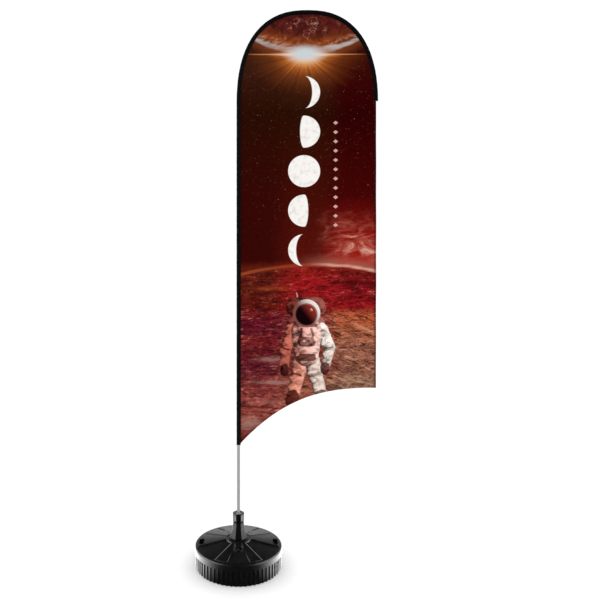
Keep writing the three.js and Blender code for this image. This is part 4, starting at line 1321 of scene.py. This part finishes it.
    def resampled(self, outline: Array, normal: Array) -> tuple[Array, Array]:
        """More points on the straight sides of a closed outline, with their normals."""
        ring = np.concatenate([outline, outline[:1]])
        steps = arc_length(ring)
        extra = np.unique(np.concatenate([steps[:-1], np.arange(0, steps[-1], 0.003)]))
        extra = extra[np.concatenate([[True], np.diff(extra) > 2e-4])]
        normals = sampled(extra, steps, np.concatenate([normal, normal[:1]]))
        return sampled(extra, steps, ring), normals / np.linalg.norm(normals, axis=1, keepdims=True)

    def port_rim(self) -> Grid:
        """The rounded rim of the port's seat, which follows the deck's slope."""
        distance, seat, _, level = self.port
        angle = turns(120)
        profile = rounded([(-0.0002, -0.004), (-0.0002, 0.0006), (0.0022, 0.0006), (0.0030, -0.0016),
                           (0.0012, -0.004)], 0.0006, closed=True)
        x, y = (seat + 0.0001) * np.sin(angle), -distance - (seat + 0.0001) * np.cos(angle)
        base = np.maximum(self.deck(np.hypot(x, y), np.arctan2(x, -y)), level + 0.001)
        reach = seat + 0.0001 + profile[:, 0, None]
        points = np.stack(np.broadcast_arrays(reach * np.sin(angle), -distance - reach * np.cos(angle),
                                              base[None] + profile[:, 1, None]), -1)
        return Grid(points, wrap_rows=True)


@dataclass
class FillCap:
    """The screw cap of the fill port, with a knurled edge and a bar to turn it by.

    Attributes:
        distance: of its axis from the tank's axis.
        bottom: height of its flange's underside.
        height: of its flange.
        radius: over the knurls.
        plug_radius: of the part that goes into the neck.
        plug_bottom: height of its lower end.
    """

    finishes: Finishes
    distance: float = 0.105
    bottom: float = 0.1231
    height: float = 0.007
    radius: float = 0.0239
    plug_radius: float = 0.0168
    plug_bottom: float = 0.1100

    def build(self) -> None:
        """Makes the cap."""
        top = self.bottom + self.height
        profile = rounded([(0, top - 0.004), (0.0198, top - 0.004), (0.0206, top), (self.radius, top),
                           (self.radius, self.bottom), (self.plug_radius, self.bottom),
                           (self.plug_radius, self.plug_bottom), (0.014, self.plug_bottom),
                           (0.014, self.bottom),
                           (0, self.bottom + 0.0006)],
                          [0, 0.001, 0.0008, 0.0012, 0.0006, 0.0004, 0.0008, 0.0006, 0.0008, 0])
        grid = lathe(profile, 180, closed=False)
        knurl = 0.0005 * (0.5 + 0.5 * np.cos(turns(180) * 45))
        rim = smooth(profile[:, 0], self.radius - 0.0012,
                     self.radius - 0.0002) * (profile[:, 1] > self.bottom - 1e-4)
        scale = 1 - rim[:, None] * knurl[None] / self.radius
        points = grid.points * np.stack([scale, scale, np.ones_like(scale)], -1)
        bar = rounded_box((0.0035, 0.0208, 0.0026), 0.0009)
        grids = [shifted(Grid(points), (0, -self.distance, 0)),
                 shifted(bar, (0, -self.distance, top - 0.0022))]
        place(make_piece("screw_cap", grids), Body.CAP, self.finishes.nut, ("fill_cap",))


def rounded_box(half: Triple, corner: float) -> Grid:
    """A box with rounded upright edges and rounded top and bottom, from half its sizes."""
    bend = np.linspace(0, np.pi / 2, 5)
    normal = four_quarters(np.stack([np.cos(bend), np.sin(bend)], -1))
    inner = np.sign(normal + 1e-12) * (np.array(half[:2]) - corner)
    lift = np.linspace(-np.pi / 2, np.pi / 2, 8)
    swell = np.cos(lift)[:, None, None] * normal[None] * corner + inner[None]
    height = np.where(lift < 0, -1, 1) * (half[2] - corner) + np.sin(lift) * corner
    points = np.concatenate([swell, np.broadcast_to(height[:, None, None], swell.shape[:2] + (1,))], -1)
    return Grid(pinched(points))


# ---------------------------------------------------------------- the head

def octagon_radius(angle: Array, apothem: Array, corner: float) -> Array:
    """Distance of an octagon's outline, with rounded corners and one flat to the front.

    Args:
        angle: from the front.
        apothem: half its size across the flats.
        corner: radius of its corners.

    Returns:
        The distance at each angle for each apothem.
    """
    away = np.abs((angle + np.pi / 8) % (np.pi / 4) - np.pi / 8)
    flat = apothem / np.cos(away)
    centre = (apothem - corner) / math.cos(math.pi / 8)
    tangent = np.arctan((apothem - corner) * math.tan(math.pi / 8) / apothem)
    turn = math.pi / 8 - away
    bent = centre * np.cos(turn) + np.sqrt(np.maximum(corner ** 2 - (centre * np.sin(turn)) ** 2, 0))
    return np.where(away < tangent, flat, bent)


@dataclass
class Head:
    """The turning head: an octagonal turret, the collet in its stem and the octagonal lock nut.

    Attributes:
        corner: radius of the upright edges.
        columns: points round each ring.
    """

    finishes: Finishes
    corner: float = 0.0022
    columns: int = 192

    def ring(self, table: list[Triple], flutes: Array | None = None) -> Grid:
        """A closed ring from rows of (half size, height, share of a circle).

        Args:
            table: the rows, once round the profile.
            flutes: how far each column is pushed in on the rows that are octagonal.

        Returns:
            The grid.
        """
        rows = np.array(table)
        half, share = rows[:, 0, None], rows[:, 2, None]
        angle = turns(self.columns)[None]
        radius = octagon_radius(angle, half, self.corner) * (1 - share) + half * share
        if flutes is not None:
            radius = radius - flutes[None] * (share == 0)
        return Grid(around(radius, angle, rows[:, 1, None]), wrap_rows=True)

    def build(self) -> None:
        """Makes the three pieces."""
        self.turret()
        self.lock_nut()
        self.collet()

    def turret(self) -> None:
        """A skirt that flares, a tapered body, and a round threaded stem."""
        flare = [(half, z, 0) for half,
                 z in rounded([(0.0396, 0.1400), (0.0410, 0.1408), (0.0320, 0.176), (0.0260, 0.2145),
                                                      (0.0248, 0.2150)], [0, 0.0012, 0.008, 0.002, 0],
                              steps=6)]
        thread = [(0.0167 - 0.0007 * (k % 2), 0.2180 + 0.0012 * k, 1) for k in range(24)]
        table = [*flare, (0.0200, 0.2150, 0.6), (0.0176, 0.2150, 1), (0.0168, 0.2156, 1), *thread,
                 (0.0164, 0.2477, 1),
                 (0.0139, 0.2477, 1), (0.0134, 0.2470, 1), (0.0109, 0.2220, 1), (0.0109, 0.1404, 1),
                 (0.0113, 0.1400, 1),
                 (0.0146, 0.1400, 1), (0.0150, 0.1404, 1), (0.0150, 0.1710, 1), (0.0158, 0.1720, 1),
                 (0.0262, 0.1720, 0.9),
                 (0.0272, 0.1712, 0.6), (0.0366, 0.1408, 0.1), (0.0372, 0.1400, 0)]
        place(make_piece("turret_housing", [self.ring(table)], 44), Body.ROTOR,
              self.finishes.black, ("turret",))

    def lock_nut(self) -> None:
        """Chamfered flats, a hollow top and a threaded bore."""
        table = [(0.0225, 0.2220, 0.4), (0.0254, 0.2220, 0), (0.0262, 0.2224, 0), (0.0283, 0.2256, 0),
                 (0.0285, 0.2266, 0),
                 *[(0.0285, z, 0) for z in (0.232, 0.2420, 0.252)], (0.0285, 0.2574, 0), (0.0283, 0.2584, 0),
                 (0.0262, 0.2614, 0), (0.0254, 0.2619, 0), (0.0246, 0.2620, 0.2), (0.0228, 0.2620, 0.9),
                 (0.0221, 0.2619, 1), (0.0216, 0.2613, 1), (0.0134, 0.2530, 1), (0.0127, 0.2522, 1),
                 (0.01265, 0.2503, 1),
                 (0.0128, 0.2499, 1), (0.0170, 0.2499, 1), (0.01725, 0.2496, 1), (0.01725, 0.2226, 1),
                 (0.0178, 0.2220, 1)]
        place(make_piece("clamp_nut", [self.ring(table)], 44), Body.NUT,
              self.finishes.nut, ("lock_nut",))

    def collet(self) -> None:
        """The split ring: its profile carried round, but for the slot at the back."""
        profile = rounded([(0.0086, 0.222), (0.0106, 0.222), (0.0131, 0.2477), (0.0123, 0.2479),
                           (0.0123, 0.2570),
                           (0.0086, 0.2570)], [0.0003, 0.0004, 0.0003, 0.0002, 0.0009, 0.0007], closed=True)
        half = 0.00075 / 0.0105
        angle = np.linspace(-np.pi + half, np.pi - half, 96)
        points = around(profile[None, :, 0], angle[:, None], profile[None, :, 1])
        place(make_piece("split_collet", [Grid(pinched(points))]), Body.ROTOR,
              self.finishes.collet, ("collet",))


# ---------------------------------------------------------------- the mast and the flag

@dataclass(frozen=True)
class Line:
    """The sleeve's middle line: a straight leg, then half a superellipse over to the free side.

    A point of the arch is half_width (1 + c) across and start + rise s up, where c and s are the
    signed cosine and sine to the power 2 / exponent.
    """

    foot: float = 0.605
    start: float = 2.317
    half_width: float = 0.348
    rise: float = 0.4744
    exponent: float = 2.42
    end_height: float = 0.025
    steps: int = 32

    def end(self) -> float:
        """The angle at which the sleeve ends."""
        return math.pi - math.asin((self.end_height / self.rise) ** (self.exponent / 2))

    def pocket(self) -> float:
        """The angle at which the tip pocket starts."""
        return self.end() * (1 - 1 / self.steps)

    def arch(self, angle: Array, inset: float = 0.0) -> tuple[Array, Array]:
        """Across and height of the arch's points, moved inwards by the inset."""
        power, slope = 2 / self.exponent, self.exponent - 1
        cosine = np.cos(angle)
        across = -np.sign(cosine) * np.abs(cosine) ** power
        up = np.maximum(np.sin(angle), 0) ** power
        normal = np.stack([np.sign(across) * np.abs(across) ** slope / self.half_width,
                           up ** slope / self.rise])
        normal /= np.linalg.norm(normal, axis=0)
        return (self.half_width * (1 + across) - inset * normal[0],
                self.start + self.rise * up - inset * normal[1])

    def stations(self, last: float, spacing: float) -> tuple[Array, Array, Array]:
        """Even stations from the foot to an angle of the arch.

        Args:
            last: the arch's angle at the end.
            spacing: between stations.

        Returns:
            Their points (across, height), inward normals, and lengths from the foot.
        """
        across, height = self.arch(np.linspace(0, last, 2000))
        dense = np.stack([np.concatenate([np.zeros(400), across]),
                          np.concatenate([np.linspace(self.foot, self.start, 400, endpoint=False), height])],
                         -1)
        length = arc_length(dense)
        even = np.linspace(0, length[-1], round(length[-1] / spacing) + 1)
        points = sampled(even, length, dense)
        along = np.gradient(points, axis=0)
        along /= np.linalg.norm(along, axis=1, keepdims=True)
        return points, np.stack([along[:, 1], -along[:, 0]], -1), even


@dataclass
class Mast:
    """What shows of the pole: the lower tube and the ring that stops the sleeve."""

    finishes: Finishes
    radius: float = 0.00825
    bottom: float = 0.0172
    top: float = 1.0
    ring: Pair = (0.5927, 0.6047)

    def build(self) -> None:
        """Makes both pieces."""
        heights = np.linspace(self.bottom + 0.002, self.top - 0.002, 60)
        outside = [(self.radius - 0.0004, self.bottom), (self.radius, self.bottom + 0.0004),
                   *((self.radius, z) for z in heights), (self.radius, self.top - 0.0004),
                   (self.radius - 0.0004, self.top)]
        inside = [(0.0071, self.top), (0.0070, self.top - 0.0003), (0.0070, self.bottom + 0.0003),
                  (0.0071, self.bottom)]
        place(make_piece("pole_tube", [lathe(np.array(outside + inside), 48)]), Body.MAST,
              self.finishes.aluminium, ("pole_lower",))
        low, high = self.ring
        profile = rounded([(0.00855, low), (0.00965, low), (0.00965, high), (0.00855, high)],
                          [0.0002, 0.0005, 0.0005, 0.0002], closed=True)
        middle = rounded([(0.00962, low + 0.004), (0.01000, low + 0.0045), (0.01000, high - 0.0045),
                          (0.00962, high - 0.004),
                          (0.0092, high - 0.006)], 0.0003, closed=True)
        place(make_piece("stop_ring", [lathe(profile, 64), lathe(middle, 64)]), Body.MAST,
              self.finishes.ring, ("sleeve_stop_ring",))


@dataclass
class Flag:
    """The printed panel, the black sleeve with its end pocket, and their stitches.

    Attributes:
        corner_height: the panel's lower corner on the free side.
        hem_drop: from there down to the pole.
        hem_exponent: the hollow of the lower edge.
        right: the panel's free edge.
        inset: of the panel's other edges from the pole's axis.
        thickness: of the panel.
        hem: width of the doubled edges.
        tip: how far the sleeve's seam reaches from the pole's axis.
        sleeve_radius: radius of the sleeve's round part.
    """

    finishes: Finishes
    line: Line = field(default_factory=Line)
    corner_height: float = 0.892
    hem_drop: float = 0.2925
    hem_exponent: float = 2.65
    right: float = 0.696
    inset: float = 0.0103
    thickness: float = 0.001
    hem: float = 0.011
    tip: float = 0.0116
    sleeve_radius: float = 0.0100

    def build(self) -> None:
        sleeve, pocket = self.sleeve(), self.pocket()
        panel, area = self.panel()
        seam = self.seam_stitches()
        hem = self.hem_stitches()
        LOG.info("flag: %.4f m2 of cloth, sleeve end %s", area, pocket.name)

    def hem_height(self, across: Array) -> Array:
        """The lower edge: the corner's height less the drop times a power of the distance left."""
        share = np.clip((self.right - across) / self.right, 0, 1)
        return self.corner_height - self.hem_drop * share ** self.hem_exponent

    def ripple(self, across: Array, height: Array) -> Array:
        """How far the cloth swells to the back: long soft folds that die out at the sleeve."""
        top = np.interp(across, *self.top_edge(400))
        near = np.minimum(smooth(across, 0.012, 0.10), smooth(top - height, 0.004, 0.12))
        wave = (0.0016 * np.sin(9.0 * across + 2.1 * height)
                + 0.0011 * np.sin(17.0 * across - 5.2 * height + 1.0))
        flutter = 0.0016 * np.sin(21.0 * height) * smooth(across, 0.45, 0.69) * (height < 2.2)
        pull = (0.0005 * np.sin(60 * height) * (1 - smooth(across, 0.015, 0.09))
                * smooth(across, 0.0105, 0.018))
        return near * (wave + flutter) + pull

    def top_edge(self, count: int) -> tuple[Array, Array]:
        """Across and height of the panel's edge along the arch, then over to the free edge."""
        across, height = self.line.arch(np.linspace(0.0, self.line.end(), count), self.inset)
        notch = self.line.start + self.line.end_height - 0.0003
        across = np.concatenate([across, np.linspace(across[-1] + 0.0003, self.right, 8)])
        return across, np.concatenate([np.maximum(height, notch), np.full(8, notch)])

    def panel(self) -> tuple[bpy.types.Object, float]:
        """The panel as two layers that meet at the edges. Its rows run from the hem to the top edge."""
        across, top = self.top_edge(150)
        bottom = self.hem_height(across)
        share = np.concatenate([[0], np.linspace(0.0004, 0.014, 8), np.linspace(0.018, 0.9996, 270),
                                [1]])[:, None]
        height = bottom + share * (top - bottom)
        wide = np.broadcast_to(across, height.shape)
        edge = np.minimum((height - bottom) * 0.93, self.right - wide)
        half = self.thickness / 2 + 0.0005 * (1 - smooth(edge, self.hem - 0.001, self.hem))
        end = np.minimum.reduce([height - bottom, top - height, self.right - wide, wide - self.inset])
        half = half * np.clip(end / 0.0004, 0, 1) ** 0.5
        middle = self.ripple(wide, height)
        front = np.stack([wide, middle - half, height], -1)
        back = np.stack([wide, middle + half, height], -1)
        points = np.concatenate([front, back[:, ::-1]], 1)
        uv = points[..., (0, 2)] / np.array(CLOTH_SPAN)
        piece = make_piece("printed_panel", [Grid(points, uv=uv)], 60)
        place(piece, Body.MAST, self.finishes.flag, ("flag_panel",))
        return piece, float(np.sum(np.diff(across) * ((top - bottom)[1:] + (top - bottom)[:-1]) / 2))

    def section(self, radius: float, tip: float, half: float, count: int = 30) -> Array:
        """A drop-shaped section round the pole: a circle and two flanks that meet in a flat seam."""
        lean = math.acos(min(0.98, (radius - half) / tip))
        bend = np.linspace(lean, 2 * math.pi - lean, count)
        circle = np.stack([radius * np.cos(bend), radius * np.sin(bend)], -1)
        flank = np.linspace(0, 1, 6)[1:-1, None]
        upper, lower = np.array([tip, half]), np.array([tip, -half])
        return np.concatenate([[upper], upper + flank * (circle[0] - upper), circle,
                               circle[-1] + flank * (lower - circle[-1]), [lower]])

    def tube(self, points: Array, normals: Array, length: Array, wall: float, radius: float, tip: float,
             wrinkle: float) -> tuple[Array, Array]:
        """A cloth tube of drop-shaped sections: its outside forth and its inside back.

        Args:
            points: the middle line.
            normals: towards the flag.
            length: along the line, for the pattern and the wrinkles.
            wall: the cloth's thickness.
            radius: of the round part.
            tip: how far the seam reaches.
            wrinkle: the wrinkles' height.

        Returns:
            The grid's points and its flat coordinates.
        """
        layers = []
        for inside in (0, 1):
            section = self.section(radius - inside * wall, tip - 1.5 * inside * wall,
                                   0.0009 - inside * 0.0006)
            around_share = np.linspace(0, 1, len(section))
            swell = np.sin(np.pi * around_share)[None] ** 2 * wrinkle * (
                np.sin(170 * length[:, None] + 5 * around_share) * 0.5
                + np.sin(61 * length[:, None] - 9 * around_share) * 0.5)
            local = section[None] * (1 + swell[..., None] / radius)
            spot = points[:, None] + normals[:, None] * local[..., :1]
            layer = np.stack([spot[..., 0], local[..., 1], spot[..., 1]], -1)
            flat = np.stack(np.broadcast_arrays(around_share * 0.066, length[:, None]), -1)
            layers.append((layer, flat))
        (outer, outer_uv), (inner, inner_uv) = layers
        return np.concatenate([outer, inner[::-1]]), np.concatenate([outer_uv,
                                                                     inner_uv[::-1]]) / np.array(CLOTH_SPAN)

    def sleeve(self) -> bpy.types.Object:
        """The sleeve from its mouth above the ring to the end pocket."""
        points, normals, length = self.line.stations(self.line.pocket() - 0.0004, 0.006)
        grid, uv = self.tube(points, normals, length, 0.0007, self.sleeve_radius, self.tip, 0.00025)
        piece = make_piece("cloth_sleeve", [Grid(grid, wrap_rows=True, uv=uv)], 60)
        return place(piece, Body.MAST, self.finishes.sleeve, ("pole_sleeve",))

    def pocket(self) -> bpy.types.Object:
        """The webbing pocket at the sleeve's end, sewn flat at its tip, with three bar tacks."""
        points, normals, length = self.line.stations(self.line.end(), 0.002)
        start = np.searchsorted(length, length[-1] - 0.0607)
        points, normals, length = points[start:], normals[start:], length[start:]
        grid, uv = self.tube(points, normals, length, 0.0009, self.sleeve_radius, self.tip, 0.0002)
        rows = len(points)
        close = smooth(np.arange(rows), rows - 7, rows - 1)
        squeeze = np.concatenate([1 - 0.93 * close, (1 - 0.93 * close)[::-1]])
        grid = grid * np.stack([np.ones_like(squeeze), squeeze, np.ones_like(squeeze)], -1)[:, None]
        grids = [Grid(grid, wrap_rows=True, uv=uv)]
        for back in (5, 9, 22):
            centre, out = points[-back], normals[-back]
            depth = 0.0101 * (1 - 0.93 * close[-back]) + 0.0002
            grids.append(self.tack(centre, out, -depth))
        piece = make_piece("end_pocket", grids, 60)
        return place(piece, Body.MAST, self.finishes.webbing, ("sleeve_tip_pocket",))

    def tack(self, centre: Array, out: Array, depth: float) -> Grid:
        """A dense short row of thread across the pocket's front."""
        box = rounded_box((0.0042, 0.0006, 0.0009), 0.0003).points
        x = centre[0] + out[0] * box[..., 0] + out[1] * box[..., 2]
        z = centre[1] + out[1] * box[..., 0] - out[0] * box[..., 2]
        points = np.stack([x, depth + box[..., 1], z], -1)
        return Grid(points, uv=points[..., (0, 2)] / np.array(CLOTH_SPAN))

    def stitches(self, name: str, centres: Array, along: Array, depth: Array, finish: Finish,
                 half: float = 0.0014) -> bpy.types.Object:
        """Many short threads, each a low four-sided bead with pointed ends.

        Args:
            name: the piece's name.
            centres: their places (across, height).
            along: their directions.
            depth: how far back each one's middle lies.
            finish: the thread's finish.
            half: half a stitch's length.

        Returns:
            The piece.
        """
        normal = np.stack([along[:, 1], -along[:, 0]], -1)
        swell = np.array([0.35, 1.0, 1.0, 0.35])
        place_along = np.array([-1.0, -0.5, 0.5, 1.0]) * half
        bend = turns(5)
        grids = []
        for centre, way, side, back in zip(centres, along, normal, depth):
            across_thread = (0.00032 * swell[:, None] * np.cos(bend))[..., None] * side
            flat = centre + place_along[:, None, None] * way + across_thread
            out = back + 0.00032 * swell[:, None] * np.sin(bend)
            grids.append(Grid(pinched(np.stack([flat[..., 0], out, flat[..., 1]], -1))))
        piece = make_piece(name, grids)
        return place(piece, Body.MAST, finish)

    def seam_stitches(self) -> bpy.types.Object:
        """The row that closes the sleeve beside the panel, on its front."""
        points, normals, _ = self.line.stations(self.line.pocket() - 0.01, 0.0044)
        along = np.stack([-normals[:, 1], normals[:, 0]], -1)
        keep = slice(3, -2)
        centres = (points + normals * (self.tip - 0.0012))[keep]
        return self.stitches("seam_stitches", centres, along[keep], np.full(len(centres), -0.0013),
                             self.finishes.black_thread)

    def hem_stitches(self) -> bpy.types.Object:
        """The rows along the lower hem and the free edge."""
        across = np.linspace(self.inset + 0.006, self.right - self.hem, 4000)
        height = self.hem_height(across)
        slope = np.gradient(height, across)
        tangent = np.stack([np.ones_like(slope), slope], -1) / np.hypot(1, slope)[:, None]
        inward = np.stack([-tangent[:, 1], tangent[:, 0]], -1)
        inner = np.stack([across, height], -1) + inward * (self.hem - 0.0022)
        up = np.arange(self.corner_height + self.hem, self.line.start + 0.018, 0.0044)
        length = arc_length(inner)
        even = np.arange(0, length[-1], 0.0044)
        low, ways = sampled(even, length, inner), sampled(even, length, tangent)
        centres = np.concatenate([low, np.stack([np.full(len(up), self.right - self.hem + 0.0022), up], -1)])
        along = np.concatenate([ways, np.tile([0.0, 1.0], (len(up), 1))])
        depth = self.ripple(centres[:, 0], centres[:, 1]) - 0.00105
        return self.stitches("hem_stitches", centres, along, depth, self.finishes.red_thread)


# ---------------------------------------------------------------- studio

@dataclass
class Studio:
    """A white room: pale floor, white sky, two soft lights and the camera.

    Attributes:
        camera_place: where the camera stands.
        lens: its focal length in millimetres.
        shift: of the picture, as a share of its width.
        sky: brightness of the white surroundings.
        side_shine: of the sides, as shiny surfaces see them.
        back_shine: the same of the low back wall.
        dim_shine: the same of all the rest.
        floor_shine: the same of the floor close beside and behind the base.
        far_shine: the same of the floor farther out.
        lift: how much brighter the camera sees the floor.
    """

    camera_place: Triple = (0.0, -3.0, 1.5)
    lens: float = 35.6
    shift: Pair = (0.1025, -0.054)
    sky: float = 1.04
    side_shine: float = 5.0
    back_shine: float = 1.5
    dim_shine: float = 0.02
    floor_shine: float = 7.0
    far_shine: float = 0.9
    lift: float = 0.06

    def build(self) -> None:
        """Sets up floor, sky, lights and camera."""
        scene = bpy.context.scene
        scene.view_settings.view_transform = "Standard"
        self.floor()
        scene.world = self.white_room()
        self.soft_light("Left", (-2.8, 0.2, 1.2), (0.0, 0.0, 0.3), 1.4, 9.0)
        self.soft_light("Right", (2.8, 0.2, 1.2), (0.0, 0.0, 0.3), 1.4, 9.0)
        data = bpy.data.cameras.new("Camera")
        data.lens, data.sensor_width = self.lens, 36.0
        data.shift_x, data.shift_y = self.shift
        camera = bpy.data.objects.new("Camera", data)
        camera.location = self.camera_place
        camera.rotation_euler = (math.pi / 2, 0.0, 0.0)
        scene.collection.objects.link(camera)
        scene.camera = camera

    def white_room(self) -> bpy.types.World:
        """White all round, but shiny surfaces see only its bright sides and its low back wall."""
        world = bpy.data.worlds.new("White room")
        world.use_nodes = True
        world.cycles.sampling_method = "NONE"
        graph = Graph(world.node_tree)
        x, y, z = graph.split(Signal(graph, graph.add("TexCoord").outputs["Generated"]))
        sides = graph.step(abs(x), 0.5, 0.85) * graph.fade(z, 0.5, 0.8)
        back = graph.step(y, 0.5, 0.9) * graph.fade(z, 0.1, 0.42)
        seen = graph.math("MAXIMUM", sides * self.side_shine, back * self.back_shine) + self.dim_shine
        glossy = Signal(graph, graph.add("LightPath").outputs["Is Glossy Ray"])
        background = world.node_tree.nodes["Background"]
        background.inputs["Color"].default_value = (1.0, 1.0, 1.0, 1.0)
        graph.feed(background.inputs["Strength"], seen * glossy + (1.0 - glossy) * self.sky)
        return world

    def floor(self) -> None:
        """A wide pale floor just under the base."""
        mesh = bpy.data.meshes.new("Floor")
        reach = 30.0
        mesh.from_pydata([(x * reach, y * reach, -0.0002) for x, y in ((-1, -1), (1, -1), (1, 1), (-1, 1))],
                         [], [(0, 1, 2, 3)])
        paper = bpy.data.materials.new("Pale floor")
        paper.use_nodes = True
        paper.cycles.emission_sampling = "NONE"
        shader = paper.node_tree.nodes["Principled BSDF"]
        graph = Graph(paper.node_tree)
        x, y, _ = graph.split(Signal(graph, graph.add("TexCoord").outputs["Object"]))
        turn = graph.math("ARCTAN2", abs(x), y * -1.0)
        near = graph.step(graph.length(graph.vector(x, y)), 0.6, 1.1, self.floor_shine, self.far_shine)
        card = graph.step(turn, 0.55, 1.5) * graph.step(turn, 2.2, 2.9, 1.0, 0.12) * near + self.dim_shine
        rays = graph.add("LightPath")
        glossy, camera = (Signal(graph, rays.outputs[name]) for name in ("Is Glossy Ray", "Is Camera Ray"))
        graph.feed(shader.inputs["Base Color"],
                   graph.mix(glossy, (0.985, 0.985, 0.985, 1.0), (0.0, 0.0, 0.0, 1.0)))
        shader.inputs["Emission Color"].default_value = (1.0, 1.0, 1.0, 1.0)
        graph.feed(shader.inputs["Emission Strength"], glossy * card + camera * self.lift)
        shader.inputs["Roughness"].default_value = 0.9
        shader.inputs["Specular IOR Level"].default_value = 0.1
        mesh.materials.append(paper)
        floor = bpy.data.objects.new("Floor", mesh)
        bpy.context.scene.collection.objects.link(floor)

    def soft_light(self, name: str, where: Triple, at: Triple, size: float,
                   power: float) -> None:
        """A square area light that points at a place."""
        data = bpy.data.lights.new(name, "AREA")
        data.size, data.energy = size, power
        lamp = bpy.data.objects.new(name, data)
        lamp.location = where
        away = np.array(where) - np.array(at)
        lamp.rotation_euler = (math.acos(away[2] / np.linalg.norm(away)), 0.0, math.atan2(away[0], -away[1]))
        bpy.context.scene.collection.objects.link(lamp)


def dress_frame(finishes: Finishes) -> None:
    """Gives every node of the frame the finish of its material slot."""
    slots = finishes.by_slot()
    for entry in frame["record"]["subparts"]:
        node = frame["nodes"][entry["node"]]
        node.data.materials.clear()
        node.data.materials.append(slots[entry["material_slot"]].material())


def main() -> None:
    """Builds the banner's sub-assemblies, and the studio."""
    logging.basicConfig(level=logging.INFO, format="%(message)s")
    finishes = Finishes()
    dress_frame(finishes)
    Tank(finishes).build()
    FillCap(finishes).build()
    Head(finishes).build()
    Mast(finishes).build()
    Flag(finishes).build()
    Studio().build()


if __name__ == "__main__":
    main()
